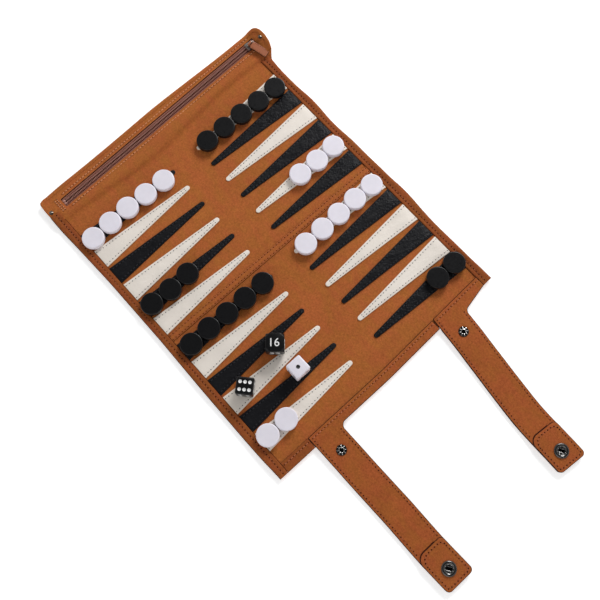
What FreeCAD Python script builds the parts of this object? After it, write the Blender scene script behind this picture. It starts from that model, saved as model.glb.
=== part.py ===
import FreeCAD, Part
import math
import os
import Sketcher

# Roll-up backgammon set, unrolled and set up for play.
# +X runs from the zipped pocket to the straps, +Y across the mat, +Z up. Millimetres.
# The origin is on the table, under the middle of the whole set, straps included.
# Positions on the mat are counted from the middle of the playing field (field_x, field_y).

os.makedirs("parts", exist_ok=True)
doc = FreeCAD.newDocument("backgammon_set")

# ---------------------------------------------------------------- sizes

SIZES = {
    # leather layers
    "back_thick": 1.3, "face_thick": 1.3, "trim_thick": 1.0, "rest_gap": 0.3, "hinge_gap": 0.15,
    # mat outline
    "end_edge": 149.5, "side_edge": 125.5, "binding_wrap": 1.0, "side_inner": 116.8,
    "end_inner": 140.5, "end_far_edge": 144.7,
    # points: 12 a side in two groups of 6, with the bar between the groups
    "point_pitch": 20.5, "first_point": 15.3, "bar_x": -1.2, "row_shift": 1.2,
    "point_base": 116.7, "point_tip": 14.6, "cream_width": 19.2, "black_width": 17.6,
    "tip_radius": 1.9, "bar_width": 7.0, "bar_thick": 0.6,
    # zipped pocket, folding up about its seam
    "pocket_outer": -177.0, "pocket_seam": -146.0, "pocket_near": -126.5, "pocket_far": 134.0,
    "corner_near": 3.0, "corner_far": 9.0, "pocket_rim": 3.6, "pocket_room": 1.3,
    "tape_thick": 0.4, "front_thick": 1.2,
    # zip, measured along its own centre line
    "zip_x": -163.85, "zip_y": 5.8, "zip_skew": 1.6, "zip_near": -114.0, "zip_far": 119.7,
    "zip_slot": 0.8, "tape_side": 5.8, "coil_side": 2.2, "window_side": 4.3,
    "stop_length": 2.4, "slider_y": 114.0, "slider_length": 9.0, "slider_width": 7.4,
    "plate_thick": 1.0, "sole_thick": 0.7, "sole_width": 6.0, "lip_width": 0.9,
    "neck_width": 0.9, "neck_length": 2.6,
    # pull on the slider's bail
    "bail_half": 3.0, "bail_post": 0.8, "bail_radius": 0.5, "bail_rise": 1.8, "eye_radius": 1.5,
    "eye_length": 4.6, "eye_clear": 0.3, "pull_width": 9.0, "pull_start": 2.6, "pull_end": 20.0,
    "pull_thick": 1.2, "pull_turn": 14.0,
    # rivets through the pocket's ends
    "rivet_radius": 1.8, "rivet_shank": 0.8, "rivet_head": 0.8, "near_rivet_x": -160.5,
    "near_rivet_y": -122.6, "far_rivet_x": -165.5, "far_rivet_y": 131.0,
    # straps, measured along each strap from the mat's end
    "strap_width": 28.0, "near_strap_y": -71.7, "far_strap_y": 75.6, "far_strap_turn": -4.9,
    "far_strap_back": 3.0, "root_slant": 1.6,
    "strap_thick": 2.0, "strap_seam_gap": 0.3, "root_web": 5.0, "hinge_one": 35.0,
    "hinge_two": 75.0, "hinge_three": 115.0, "strap_length": 157.5, "tip_corner": 4.0,
    "patch_start": 120.5, "patch_corner": 8.0, "patch_thick": 1.0,
    # press studs
    "stud_at": 17.0, "socket_at": 143.0, "stud_post": 1.5, "stud_washer": 4.1,
    "stud_flange": 3.8, "stud_head": 2.5, "socket_post": 2.2, "socket_ring": 6.0,
    "socket_well": 2.6, "socket_rise": 1.6, "cap_radius": 6.0,
    "cap_gap": 0.4, "well_floor": 0.5, "tube_wall": 0.6, "stud_wall": 0.4, "tube_floor": 0.2,
    "washer_rise": 0.7, "stud_head_high": 0.9,
    # loose pieces
    "checker_radius": 9.9, "checker_thick": 5.0, "checker_round": 0.8, "stack_pitch": 20.2,
    "die_size": 15.0, "die_round": 1.4, "pip_radius": 2.2, "pip_depth": 0.6,
    "ace_radius": 2.6, "ace_depth": 0.7, "pip_step": 3.25, "pip_spread": 4.1,
    "cube_size": 16.0, "cube_cut": 2.2,
}

# Sizes that follow from the driving ones.
DERIVED = {
    "face_low": "back_thick",
    "trim_low": "back_thick + face_thick",
    "mat_top": "trim_low + trim_thick",
    "piece_low": "mat_top + rest_gap",
    "strap_low": "mat_top - strap_thick",
    "binding_edge": "end_edge + binding_wrap",
    "side_outer": "side_edge + binding_wrap",
    "tape_low": "back_thick + pocket_room",
    "front_low": "tape_low + tape_thick",
    "pocket_top": "front_low + front_thick",
    "strap_reach": "end_edge + strap_length",
    "end_slope": "(end_edge - end_far_edge) / side_edge",
    "field_x": "-(pocket_outer + strap_reach) / 2",
    "field_y": "-(pocket_near + pocket_far) / 2",
}

sheet = doc.addObject("Spreadsheet::Sheet", "dims")
for row, (word, number) in enumerate(SIZES.items(), start=1):
    sheet.set(f"A{row}", word)
    sheet.set(f"B{row}", str(number))
    sheet.setAlias(f"B{row}", word)
for row, (word, text) in enumerate(DERIVED.items(), start=len(SIZES) + 1):
    sheet.set(f"A{row}", word)
    sheet.set(f"B{row}", "=" + text)
    sheet.setAlias(f"B{row}", word)
doc.recompute()


def size(word):
    """Value of one cell of the sheet."""
    return float(sheet.get(word))


def rule(text):
    """Expression text with every sheet word pointed at the sheet."""
    out, word = [], ""
    for mark in text + " ":
        if mark.isalnum() or mark == "_":
            word += mark
            continue
        out.append("dims." + word if word in SIZES or word in DERIVED else word)
        out.append(mark)
        word = ""
    return "".join(out).strip()


def bind(thing, **rules):
    """Bind properties to expressions; double underscores stand for dots."""
    for name, text in rules.items():
        thing.setExpression(name.replace("__", "."), rule(text))
    return thing


def place(thing, x="0", y="0", z="0", turn=None):
    """Bind a placement, turned about Z by an angle expression if one is given."""
    if turn is not None:
        thing.Placement = FreeCAD.Placement(FreeCAD.Vector(), FreeCAD.Vector(0, 0, 1), 1.0)
        thing.setExpression("Placement.Rotation.Angle", rule(turn))
    return bind(thing, Placement__Base__x=x, Placement__Base__y=y, Placement__Base__z=z)


# ---------------------------------------------------------------- building blocks

nodes = []


def keep(thing, label):
    """Mark an object as a finished sub-part."""
    thing.Label = label
    nodes.append(thing)
    return thing


def box(name, x, y, z, wide, deep, high, turn=None):
    """Box from its low corner."""
    thing = doc.addObject("Part::Box", name)
    bind(thing, Length=wide, Width=deep, Height=high)
    return place(thing, x, y, z, turn)


def rod(name, x, y, z, radius, high):
    """Upright cylinder on its bottom centre."""
    thing = doc.addObject("Part::Cylinder", name)
    bind(thing, Radius=radius, Height=high)
    return place(thing, x, y, z)


def fuse(name, parts):
    thing = doc.addObject("Part::MultiFuse", name)
    thing.Shapes = parts
    return thing


def cut(name, base, tool):
    thing = doc.addObject("Part::Cut", name)
    thing.Base, thing.Tool = base, tool
    return thing


def group(name, parts):
    thing = doc.addObject("Part::Compound", name)
    thing.Links = parts
    return thing


def new_body(name):
    return doc.addObject("PartDesign::Body", name)


def plane_of(body, role):
    return [face for face in body.Origin.OriginFeatures if face.Role == role][0]


def polygon(body, name, corners, role="XY_Plane"):
    """Closed outline whose corner coordinates are each bound to an expression."""
    sketch = body.newObject("Sketcher::SketchObject", name)
    sketch.AttachmentSupport = (plane_of(body, role), [""])
    sketch.MapMode = "FlatFace"
    count = len(corners)
    angle = [2 * math.pi * i / count for i in range(count)]
    spots = [FreeCAD.Vector(50 * math.cos(a), 50 * math.sin(a), 0) for a in angle]
    for i in range(count):
        sketch.addGeometry(Part.LineSegment(spots[i], spots[(i + 1) % count]))
    for i in range(count):
        sketch.addConstraint(Sketcher.Constraint("Coincident", i, 2, (i + 1) % count, 1))
    for i, (across, along) in enumerate(corners):
        for kind, tag, text in (("DistanceX", "across", across), ("DistanceY", "along", along)):
            spot = spots[i].x if kind == "DistanceX" else spots[i].y
            number = sketch.addConstraint(Sketcher.Constraint(kind, -1, 1, i, 1, spot))
            sketch.renameConstraint(number, f"{tag}{i}")
            sketch.setExpression(f"Constraints.{tag}{i}", rule(text))
    return sketch


def rectangle(body, name, low_x, low_y, high_x, high_y, role="XY_Plane"):
    corners = [(low_x, low_y), (high_x, low_y), (high_x, high_y), (low_x, high_y)]
    return polygon(body, name, corners, role)


def circle(body, name, x, y, radius):
    """Circle bound by its centre and radius."""
    sketch = body.newObject("Sketcher::SketchObject", name)
    sketch.AttachmentSupport = (plane_of(body, "XY_Plane"), [""])
    sketch.MapMode = "FlatFace"
    sketch.addGeometry(Part.Circle(FreeCAD.Vector(10, 10, 0), FreeCAD.Vector(0, 0, 1), 5))
    for kind, tag, text in (("DistanceX", "across", x), ("DistanceY", "along", y)):
        number = sketch.addConstraint(Sketcher.Constraint(kind, -1, 1, 0, 3, 10))
        sketch.renameConstraint(number, tag)
        sketch.setExpression(f"Constraints.{tag}", rule(text))
    number = sketch.addConstraint(Sketcher.Constraint("Radius", 0, 5))
    sketch.renameConstraint(number, "round")
    sketch.setExpression("Constraints.round", rule(radius))
    return sketch


def pad(body, name, sketch, length):
    feature = body.newObject("PartDesign::Pad", name)
    feature.Profile = sketch
    bind(feature, Length=length)
    doc.recompute()
    return feature


def pocket(body, name, sketch):
    """Cut a sketch on the body's base plane upwards through the whole body."""
    before = body.Shape.Volume
    feature = body.newObject("PartDesign::Pocket", name)
    feature.Profile = sketch
    feature.Type = "ThroughAll"
    feature.Reversed = True
    doc.recompute()
    if body.Shape.Volume > before - 0.01:
        raise RuntimeError(f"{name} cuts nothing")
    return feature


def round_uprights(body, name, spots, radius):
    """Fillet the upright edges that stand at the given corners of the body's own plan."""
    base = body.Tip
    edges = []
    for number, edge in enumerate(base.Shape.Edges, start=1):
        low, high = edge.Vertexes[0].Point, edge.Vertexes[-1].Point
        if abs(low.x - high.x) < 0.01 and abs(low.y - high.y) < 0.01 and abs(low.z - high.z) > 0.1:
            if any(math.hypot(low.x - x, low.y - y) < 0.05 for x, y in spots):
                edges.append(f"Edge{number}")
    feature = body.newObject("PartDesign::Fillet", name)
    feature.Base = (base, edges)
    bind(feature, Radius=radius)
    doc.recompute()
    return feature


def turned(label, profile, x, y, z, rounding=None):
    """Round piece: a profile in the XZ plane, as (radius, height) corners, turned about Z."""
    body = new_body(label)
    sketch = polygon(body, label + "_profile", profile, "XZ_Plane")
    doc.recompute()
    feature = body.newObject("PartDesign::Revolution", label + "_turned")
    feature.Profile = sketch
    feature.ReferenceAxis = (sketch, ["V_Axis"])
    feature.Angle = 360
    doc.recompute()
    if rounding:
        ends = [f"Edge{i}" for i, e in enumerate(feature.Shape.Edges, start=1) if e.Closed]
        soft = body.newObject("PartDesign::Fillet", label + "_rounded")
        soft.Base = (feature, ends)
        bind(soft, Radius=rounding)
        doc.recompute()
    return place(body, x, y, z)


# ---------------------------------------------------------------- mat

def end_line(reach, y):
    """Expression for X on a line along the strap end, which slants in beyond the middle."""
    return f"{reach} - end_slope * ({y})" if y != "0" else reach


def mat_sheet(label, low, thick):
    body = new_body(label)
    outline = polygon(body, label + "_outline", [
        ("pocket_seam + hinge_gap", "-side_edge"), ("end_edge", "-side_edge"), ("end_edge", "0"),
        (end_line("end_edge", "side_edge"), "side_edge"),
        ("pocket_seam + hinge_gap", "side_edge")])
    pad(body, label + "_pad", outline, thick)
    keep(place(body, "field_x", "field_y", low), label)


mat_sheet("outer_panel", "0", "back_thick")
mat_sheet("playing_panel", "face_low", "face_thick")

# Side bindings: a strip on top of the mat with a lip down its cut edge.
bindings = []
for side, strip_y, lip_y, end in (
        ("near", "-side_outer", "-side_outer", "binding_edge"),
        ("far", "side_inner", "side_edge", "(" + end_line("binding_edge", "side_outer") + ")")):
    strip = box(f"{side}_binding_strip", "field_x + pocket_seam + hinge_gap",
                "field_y + " + strip_y, "trim_low", end + " - pocket_seam - hinge_gap",
                "side_outer - side_inner", "trim_thick")
    lip = box(f"{side}_binding_lip", "field_x + pocket_seam + hinge_gap", "field_y + " + lip_y,
              "0", end + " - pocket_seam - hinge_gap", "binding_wrap", "trim_low")
    bindings.append(fuse(f"{side}_binding", [strip, lip]))
keep(group("side_binding_pair", bindings), "side_bindings")


def end_binding(name, stops):
    """Strip and lip along part of the strap end. stops are its Y values; 0 is straight on."""
    layers = []
    for part, inner, low, thick in (("strip", "end_inner", "trim_low", "trim_thick"),
                                    ("lip", "end_edge", "0", "trim_low")):
        body = new_body(f"{name}_{part}")
        corners = [(end_line("binding_edge", y) if bent else "binding_edge", y)
                   for y, bent in stops]
        corners += [(end_line(inner, y) if bent else inner, y) for y, bent in reversed(stops)]
        pad(body, f"{name}_{part}_pad", polygon(body, f"{name}_{part}_outline", corners), thick)
        layers.append(place(body, "field_x", "field_y", low))
    return layers


NEAR_SPLIT = "near_strap_y - strap_width / 2"
FAR_SPLIT = "far_strap_y - strap_width / 2"
plain = end_binding("plain_end", [("-side_inner", False),
                                  (f"{NEAR_SPLIT} - strap_seam_gap", False)])
keep(fuse("plain_end_binding", plain), "strap_end_binding")


def point(name, number, side, width):
    """One leather point: a tapered strip with a rounded tip. side is -1 near, 1 far."""
    pitch_steps = abs(number - 6.5) - 0.5
    hand = 1 if number > 6.5 else -1
    x = (f"field_x + bar_x - {side} * row_shift"
         f" + {hand} * (first_point + {pitch_steps} * point_pitch)")
    y = f"field_y + {side} * point_base"
    wedge = doc.addObject("Part::Wedge", name + "_blade")
    bind(wedge, Xmin=f"-{width} / 2", Xmax=f"{width} / 2", Ymin="0",
         Ymax="point_base - point_tip - tip_radius", Zmin="0", Zmax="trim_thick", Z2min="0",
         Z2max="trim_thick", X2min="-tip_radius", X2max="tip_radius")
    tip = rod(name + "_tip", "0", "point_base - point_tip - tip_radius", "0", "tip_radius",
              "trim_thick")
    return place(fuse(name, [wedge, tip]), x, y, "trim_low", "180" if side > 0 else None)


for colour, near_rest in (("cream", 0), ("black", 1)):
    blades = []
    for number in range(1, 13):
        side = -1 if number % 2 == near_rest else 1
        blades.append(point(f"{colour}_point_{number}", number, side, f"{colour}_width"))
    keep(group(f"{colour}_point_set", blades), f"{colour}_points")

keep(box("bar_strip", "field_x + bar_x - bar_width / 2", "field_y - side_inner", "trim_low",
         "bar_width", "2 * side_inner", "bar_thick"), "centre_bar")


# ---------------------------------------------------------------- pocket and zip

def pocket_sheet(label, low, thick, windowed):
    """Sheet of the pocket, rounded at its outer corners and holed for the rivets."""
    body = new_body(label)
    outline = rectangle(body, label + "_outline", "pocket_outer", "pocket_near",
                        "pocket_seam - hinge_gap", "pocket_far")
    pad(body, label + "_pad", outline, thick)
    round_uprights(body, label + "_near_corner", [(size("pocket_outer"), size("pocket_near"))],
                   "corner_near")
    round_uprights(body, label + "_far_corner", [(size("pocket_outer"), size("pocket_far"))],
                   "corner_far")
    for end in ("near", "far"):
        hole = circle(body, f"{label}_{end}_hole", f"{end}_rivet_x", f"{end}_rivet_y",
                      "rivet_shank")
        pocket(body, f"{label}_{end}_bore", hole)
    if windowed == "zip":
        skew = math.radians(size("zip_skew"))
        corners = []
        for across, along in (("-", "near"), ("", "near"), ("", "far"), ("-", "far")):
            u, v = f"({across}window_side)", f"zip_{along}"
            corners.append((f"zip_x + {u} * {math.cos(skew):.6f} - {v} * {math.sin(skew):.6f}",
                            f"zip_y + {u} * {math.sin(skew):.6f} + {v} * {math.cos(skew):.6f}"))
        pocket(body, label + "_window", polygon(body, label + "_window_outline", corners))
    if windowed == "rim":
        inside = rectangle(body, label + "_room_outline", "pocket_outer + pocket_rim",
                           "pocket_near + 2 * pocket_rim", "pocket_seam - pocket_rim",
                           "pocket_far - 1.5 * pocket_rim")
        pocket(body, label + "_room", inside)
    keep(place(body, "field_x", "field_y", low), label)


pocket_sheet("pocket_back", "0", "back_thick", None)
pocket_sheet("pocket_edge", "back_thick", "pocket_room + tape_thick", "rim")
pocket_sheet("pocket_front", "front_low", "front_thick", "zip")


def zip_frame(thing, label):
    """Carry a piece made about the zip's centre line to its place on the mat."""
    return keep(place(thing, "field_x + zip_x", "field_y + zip_y", "0", "zip_skew"), label)


def along_zip(name, side, inner, outer, low, high, thick):
    """Strip beside the zip's slot. side is -1 or 1."""
    start = inner if side > 0 else f"-{outer}"
    return box(name, start, low, thick[0], f"{outer} - {inner}", f"{high} - {low}", thick[1])


SIDES = ((-1, "left"), (1, "right"))
tapes = [along_zip(f"{word}_tape", side, "zip_slot", "tape_side", "(zip_near - 2)",
                   "(zip_far + 2)", ("tape_low", "tape_thick")) for side, word in SIDES]
coils = [along_zip(f"{word}_coil", side, "zip_slot", "coil_side", "(zip_near + stop_length)",
                   "(zip_far - stop_length)", ("front_low", "front_thick"))
         for side, word in SIDES]
stops = [box(f"{word}_stop", "-coil_side", along, "front_low", "2 * coil_side", "stop_length",
             "front_thick") for word, along in (("near", "zip_near"),
                                                ("far", "zip_far - stop_length"))]
zip_frame(group("tape_pair", tapes), "zip_tapes")
zip_frame(group("coil_pair", coils), "zip_coils")
zip_frame(group("stop_pair", stops), "zip_stops")

# Slider: a plate over the coils and a sole under the tapes, joined by a neck in the slot,
# with two lips down beside the coils and a bail on top.
plate = box("slider_plate", "-slider_width / 2", "slider_y - slider_length / 2",
            "pocket_top + rest_gap", "slider_width", "slider_length", "plate_thick")
lips = [box(f"{word}_lip", f"{side} * (slider_width - lip_width) / 2 - lip_width / 2",
            "slider_y - slider_length / 2", "front_low + rest_gap", "lip_width",
            "slider_length", "front_thick + plate_thick / 2") for side, word in SIDES]
sole = box("slider_sole", "-sole_width / 2", "slider_y - slider_length / 2",
           "tape_low - rest_gap - sole_thick", "sole_width", "slider_length", "sole_thick")
neck = box("slider_neck", "-neck_width / 2", "slider_y - neck_length / 2",
           "tape_low - rest_gap - sole_thick / 2", "neck_width", "neck_length",
           "sole_thick / 2 + tape_thick + front_thick + 2 * rest_gap + plate_thick / 2")
BAIL_Z = "pocket_top + rest_gap + plate_thick + bail_rise"
posts = [box(f"bail_{word}", "-bail_radius", f"slider_y + {side} * bail_half - bail_post / 2",
             "pocket_top + rest_gap + plate_thick / 2", "2 * bail_radius", "bail_post",
             "plate_thick / 2 + bail_rise") for side, word in SIDES]
bar = rod("bail_bar", "0", "slider_y + bail_half + bail_post / 2", BAIL_Z, "bail_radius",
          "2 * bail_half + bail_post")
bar.Placement.Rotation = FreeCAD.Rotation(FreeCAD.Vector(1, 0, 0), 90)
zip_frame(fuse("slider_piece", [plate, *lips, sole, neck, *posts, bar]), "zip_slider")

# Leather pull: an eye round the bail's bar, a short neck and a rounded flap.
eye = rod("pull_eye", "0", "slider_y + eye_length / 2", BAIL_Z, "eye_radius", "eye_length")
eye.Placement.Rotation = FreeCAD.Rotation(FreeCAD.Vector(1, 0, 0), 90)
lean = math.radians(size("pull_turn"))
flap = box("pull_flap", f"pull_start * {math.cos(lean):.4f} + pull_width / 2 * {math.sin(lean):.4f}",
           f"slider_y + pull_start * {math.sin(lean):.4f} - pull_width / 2 * {math.cos(lean):.4f}",
           BAIL_Z + " - pull_thick / 2", "pull_end - pull_start", "pull_width", "pull_thick",
           "pull_turn")
stem = box("pull_stem", "eye_radius / 2", "slider_y - eye_length / 2",
           BAIL_Z + " - pull_thick / 2", "pull_start + eye_radius", "eye_length", "pull_thick")
eye_hole = rod("pull_eye_hole", "0", "slider_y + eye_length", BAIL_Z, "bail_radius + eye_clear",
               "2 * eye_length")
eye_hole.Placement.Rotation = FreeCAD.Rotation(FreeCAD.Vector(1, 0, 0), 90)
zip_frame(cut("pull_piece", fuse("pull_solid", [eye, stem, flap]), eye_hole), "pull_tab")

rivets = []
for end in ("near", "far"):
    x, y = f"field_x + {end}_rivet_x", f"field_y + {end}_rivet_y"
    shank = rod(f"{end}_rivet_shank", x, y, "0", "rivet_shank", "pocket_top")
    head = rod(f"{end}_rivet_head", x, y, "pocket_top", "rivet_radius", "rivet_head")
    rivets.append(fuse(f"{end}_rivet", [shank, head]))
keep(group("rivet_pair", rivets), "pocket_rivets")


# ---------------------------------------------------------------- straps and press studs

def strap_length(body_name, start, end, slant="0"):
    """Length of strap about the strap's own centre line, its first edge square or slanted."""
    body = new_body(body_name)
    outline = polygon(body, body_name + "_outline", [
        (f"{start} + {slant}", "-strap_width / 2"), (end, "-strap_width / 2"),
        (end, "strap_width / 2"), (f"{start} - {slant}", "strap_width / 2")])
    pad(body, body_name + "_pad", outline, "strap_thick")
    return body


def strap(word, centre_y, back, turn, stops):
    """Root with its part of the end binding, three hinged lengths, stud and socket."""
    at_root = (f"field_x + end_edge - {back}", "field_y + " + centre_y)

    root = strap_length(f"{word}_tongue", "binding_wrap / 2", "hinge_one - hinge_gap",
                        "root_slant" if turn else "0")
    bore = circle(root, f"{word}_stud_hole", "stud_at", "0", "stud_post")
    pocket(root, f"{word}_stud_bore", bore)
    place(root, *at_root, "strap_low", turn)
    # Hollow-rounded web in the corner between the strap's far edge and the end binding.
    web_x, web_y = f"{at_root[0]} + binding_wrap", f"{at_root[1]} + strap_width / 2"
    web_block = box(f"{word}_web_block", web_x + " - 0.5", web_y + " - 0.5", "strap_low",
                    "root_web + 0.5", "root_web + 0.5", "strap_thick")
    web_round = rod(f"{word}_web_round", web_x + " + root_web", web_y + " + root_web", "0",
                    "root_web", "2 * mat_top")
    web = cut(f"{word}_web", web_block, web_round)
    binding = end_binding(f"{word}_root", stops)
    keep(fuse(f"{word}_root_piece", [root, web, *binding]), f"{word}_strap_root")

    spans = (("inner", "hinge_one", "hinge_two"), ("middle", "hinge_two", "hinge_three"))
    for part, start, end in spans:
        body = strap_length(f"{word}_{part}", start + " + hinge_gap", end + " - hinge_gap")
        keep(place(body, *at_root, "strap_low", turn), f"{word}_strap_{part}")

    # Tip: rounded end with the leather folded back on itself as a patch on top.
    tip = strap_length(f"{word}_tip_ply", "hinge_three + hinge_gap", "strap_length")
    half, end = size("strap_width") / 2, size("strap_length")
    round_uprights(tip, f"{word}_tip_corners", [(end, -half), (end, half)], "tip_corner")
    patch = new_body(f"{word}_patch")
    outline = rectangle(patch, f"{word}_patch_outline", "patch_start", "-strap_width / 2",
                        "strap_length", "strap_width / 2")
    pad(patch, f"{word}_patch_pad", outline, "patch_thick")
    round_uprights(patch, f"{word}_patch_end", [(end, -half), (end, half)], "tip_corner")
    start = size("patch_start")
    round_uprights(patch, f"{word}_patch_inner", [(start, -half), (start, half)],
                   "patch_corner")
    place(patch, "0", "0", "strap_thick")
    hole = rod(f"{word}_socket_hole", "socket_at", "0", "-1", "socket_post", "10")
    folded = cut(f"{word}_tip_piece", fuse(f"{word}_tip_solid", [tip, patch]), hole)
    keep(place(folded, *at_root, "strap_low", turn), f"{word}_strap_tip")

    # Socket: an open ring on top, a tube through the strap and a cap underneath.
    low, top = "-strap_low + cap_gap", "strap_thick + patch_thick"
    profile = [("0", low), ("cap_radius", low), ("cap_radius", "0"), ("socket_post", "0"),
               ("socket_post", top), ("socket_ring", top), ("socket_ring", f"{top} + socket_rise"),
               ("socket_well", f"{top} + socket_rise"), ("socket_well", f"{top} + well_floor"),
               ("socket_post - tube_wall", f"{top} + well_floor"),
               ("socket_post - tube_wall", "tube_floor"), ("0", "tube_floor")]
    angle = math.radians(size("far_strap_turn") if turn else 0)
    reach_x = f"{at_root[0]} + socket_at * {math.cos(angle):.6f}"
    reach_y = f"{at_root[1]} + socket_at * {math.sin(angle):.6f}"
    socket = turned(f"{word}_socket", profile, reach_x, reach_y, "strap_low")
    keep(socket, f"{word}_snap_socket")

    # Stud: a washer on top, a post through the strap and the ball head underneath.
    base = "-strap_low"
    profile = [("0", base), ("stud_head", base), ("stud_head", f"{base} + stud_head_high"),
               ("stud_flange", f"{base} + stud_head_high"), ("stud_flange", "0"),
               ("stud_post", "0"), ("stud_post", "strap_thick"), ("stud_washer", "strap_thick"),
               ("stud_washer", "strap_thick + washer_rise"),
               ("stud_post - stud_wall", "strap_thick + washer_rise"),
               ("stud_post - stud_wall", "tube_floor"), ("0", "tube_floor")]
    reach_x = f"{at_root[0]} + stud_at * {math.cos(angle):.6f}"
    reach_y = f"{at_root[1]} + stud_at * {math.sin(angle):.6f}"
    return turned(f"{word}_stud", profile, reach_x, reach_y, "strap_low")


near_stops = [(NEAR_SPLIT, False), ("0", False), (f"{FAR_SPLIT} - strap_seam_gap", True)]
far_stops = [(FAR_SPLIT, True), ("side_inner", True)]
studs = [strap("near", "near_strap_y", "0", None, near_stops),
         strap("far", "far_strap_y", "far_strap_back", "far_strap_turn", far_stops)]
keep(group("stud_pair", studs), "root_studs")


# ---------------------------------------------------------------- loose pieces

def checker(label, x, y):
    profile = [("0", "0"), ("checker_radius", "0"), ("checker_radius", "checker_thick"),
               ("0", "checker_thick")]
    body = turned(label + "_disc", profile, f"field_x + {x}", f"field_y + {y}", "piece_low",
                  "checker_round")
    keep(body, label)


# Starting layout: stack colour, checkers in it, x of the stack, y of its first checker and
# which way the stack runs across the mat. The last list is how far each is out of line.
STACKS = [
    ("white", -116.4, -109.2, 1, (0.9, -0.3, -1.0, -0.1, 0.5)),
    ("white", -37.5, 107.1, -1, (-0.2, 0.2, -0.1)),
    ("white", 13.5, 107.1, -1, (-0.4, -0.7, -0.2, 0.4, 0.9)),
    ("white", 116.8, -109.1, 1, (-0.1, 0.2)),
    ("black", -118.0, 106.8, -1, (0.7, 0.8, -0.1, -0.5, -0.6)),
    ("black", -34.4, -108.9, 1, (-0.2, 0.6, -0.2)),
    ("black", 15.4, -106.5, 1, (-0.1, -0.5, 0.0, 0.1, 0.4)),
    ("black", 114.6, 110.6, -1, (-0.1, 0.0)),
]
made = {"white": 0, "black": 0}
for colour, stack_x, stack_y, way, shifts in STACKS:
    for step, shift in enumerate(shifts):
        made[colour] += 1
        checker(f"{colour}_checker_{made[colour]:02d}", stack_x + shift,
                f"{stack_y} + {way * step} * stack_pitch")


def rounded_cube(name, edge):
    """Cube about its own centre, rounded on every edge."""
    block = box(name + "_block", f"-{edge} / 2", f"-{edge} / 2", f"-{edge} / 2", edge, edge, edge)
    doc.recompute()
    soft = doc.addObject("Part::Fillet", name + "_soft")
    soft.Base = block
    soft.Edges = [(i + 1, size("die_round"), size("die_round"))
                  for i in range(len(block.Shape.Edges))]
    return soft


# Spots of each face as steps across and along it. Opposite faces add up to seven.
SPOTS = {
    1: [(0, 0)], 2: [(-1, -1), (1, 1)], 3: [(-1, -1), (0, 0), (1, 1)],
    4: [(-1, -1), (1, -1), (-1, 1), (1, 1)], 5: [(-1, -1), (1, -1), (-1, 1), (1, 1), (0, 0)],
    6: [(-1, -1), (0, -1), (1, -1), (-1, 1), (0, 1), (1, 1)],
}


def die(label, faces, x, y, turn):
    """Die with dished spots. faces gives the spots on +Z, +X and +Y."""
    body = rounded_cube(label, "die_size")
    top, right, back = faces
    dishes = []
    for axis, way, count in ((2, 1, top), (2, -1, 7 - top), (0, 1, right), (0, -1, 7 - right),
                             (1, 1, back), (1, -1, 7 - back)):
        kind = "ace" if count == 1 else "pip"
        spread = "pip_spread" if count == 6 else "pip_step"
        for u, v in SPOTS[count]:
            dish = doc.addObject("Part::Sphere", f"{label}_spot")
            bind(dish, Radius=f"{kind}_radius")
            spot = [f"{u} * {spread}", f"{v} * pip_step"]
            spot.insert(axis, f"{way} * (die_size / 2 + {kind}_radius - {kind}_depth)")
            dishes.append(place(dish, *spot))
    body = cut(f"{label}_piece", body, group(f"{label}_spots", dishes))
    keep(place(body, f"field_x + {x}", f"field_y + {y}", "piece_low + die_size / 2", turn), label)


die("white_die", (1, 2, 3), 92.4, -53.2, "0.5")
die("black_die", (6, 5, 3), 74.4, -96.6, "41.7")

# Doubling cube: its eight corners cut off flat.
cube = box("cube_block", "-cube_size / 2", "-cube_size / 2", "-cube_size / 2", "cube_size",
           "cube_size", "cube_size")
doc.recompute()
trimmed = doc.addObject("Part::Feature", "cube_trimmed")
edge, off = size("cube_size") / 2, size("cube_cut")
solid = cube.Shape
for sx in (-1, 1):
    for sy in (-1, 1):
        for sz in (-1, 1):
            corner = FreeCAD.Vector(sx * edge, sy * edge, sz * edge)
            normal = FreeCAD.Vector(sx, sy, sz).normalize()
            reach = 3 * edge
            knife = Part.makeBox(reach, reach, reach, FreeCAD.Vector(-reach / 2, -reach / 2, 0))
            knife.Placement = FreeCAD.Placement(
                corner - normal * (off * math.sqrt(2) / math.sqrt(3)),
                FreeCAD.Rotation(FreeCAD.Vector(0, 0, 1), normal)).multiply(knife.Placement)
            solid = solid.cut(knife)
trimmed.Shape = solid
keep(place(trimmed, "field_x + 64.0", "field_y - 53.8", "piece_low + cube_size / 2", "48.4"),
     "doubling_cube")

# ---------------------------------------------------------------- checks and export

doc.recompute()
for thing in doc.Objects:
    if "Invalid" in thing.State or "Error" in thing.State:
        raise RuntimeError(f"{thing.Label}: {thing.State}")
names = [thing.Label for thing in nodes]
if len(set(names)) != len(names) or len(names) > 60:
    raise RuntimeError("node names must be unique and at most 60")
for thing in nodes:
    shape = thing.Shape
    if shape.isNull() or not shape.isValid():
        raise RuntimeError(f"{thing.Label}: bad shape")
whole = FreeCAD.BoundBox()
for thing in nodes:
    whole.add(thing.Shape.BoundBox)
    thing.Shape.exportStep(f"parts/{thing.Label}.step")
print(len(nodes), "nodes,", sum(len(thing.Shape.Solids) for thing in nodes), "solids")
print(f"x {whole.XMin:.2f} {whole.XMax:.2f}  y {whole.YMin:.2f} {whole.YMax:.2f}  "
      f"z {whole.ZMin:.2f} {whole.ZMax:.2f}")
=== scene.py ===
"""Finish of the roll-up backgammon set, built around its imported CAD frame.

Lengths are millimetres counted from the middle of the playing field until Build.mesh turns
them into metres in the frame. +X runs from the zipped pocket to the straps, +Y across the mat.
"""

import math
import random

import bmesh
import bpy
import numpy as np
from mathutils import Matrix, Vector
from mathutils.geometry import delaunay_2d_cdt

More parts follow.
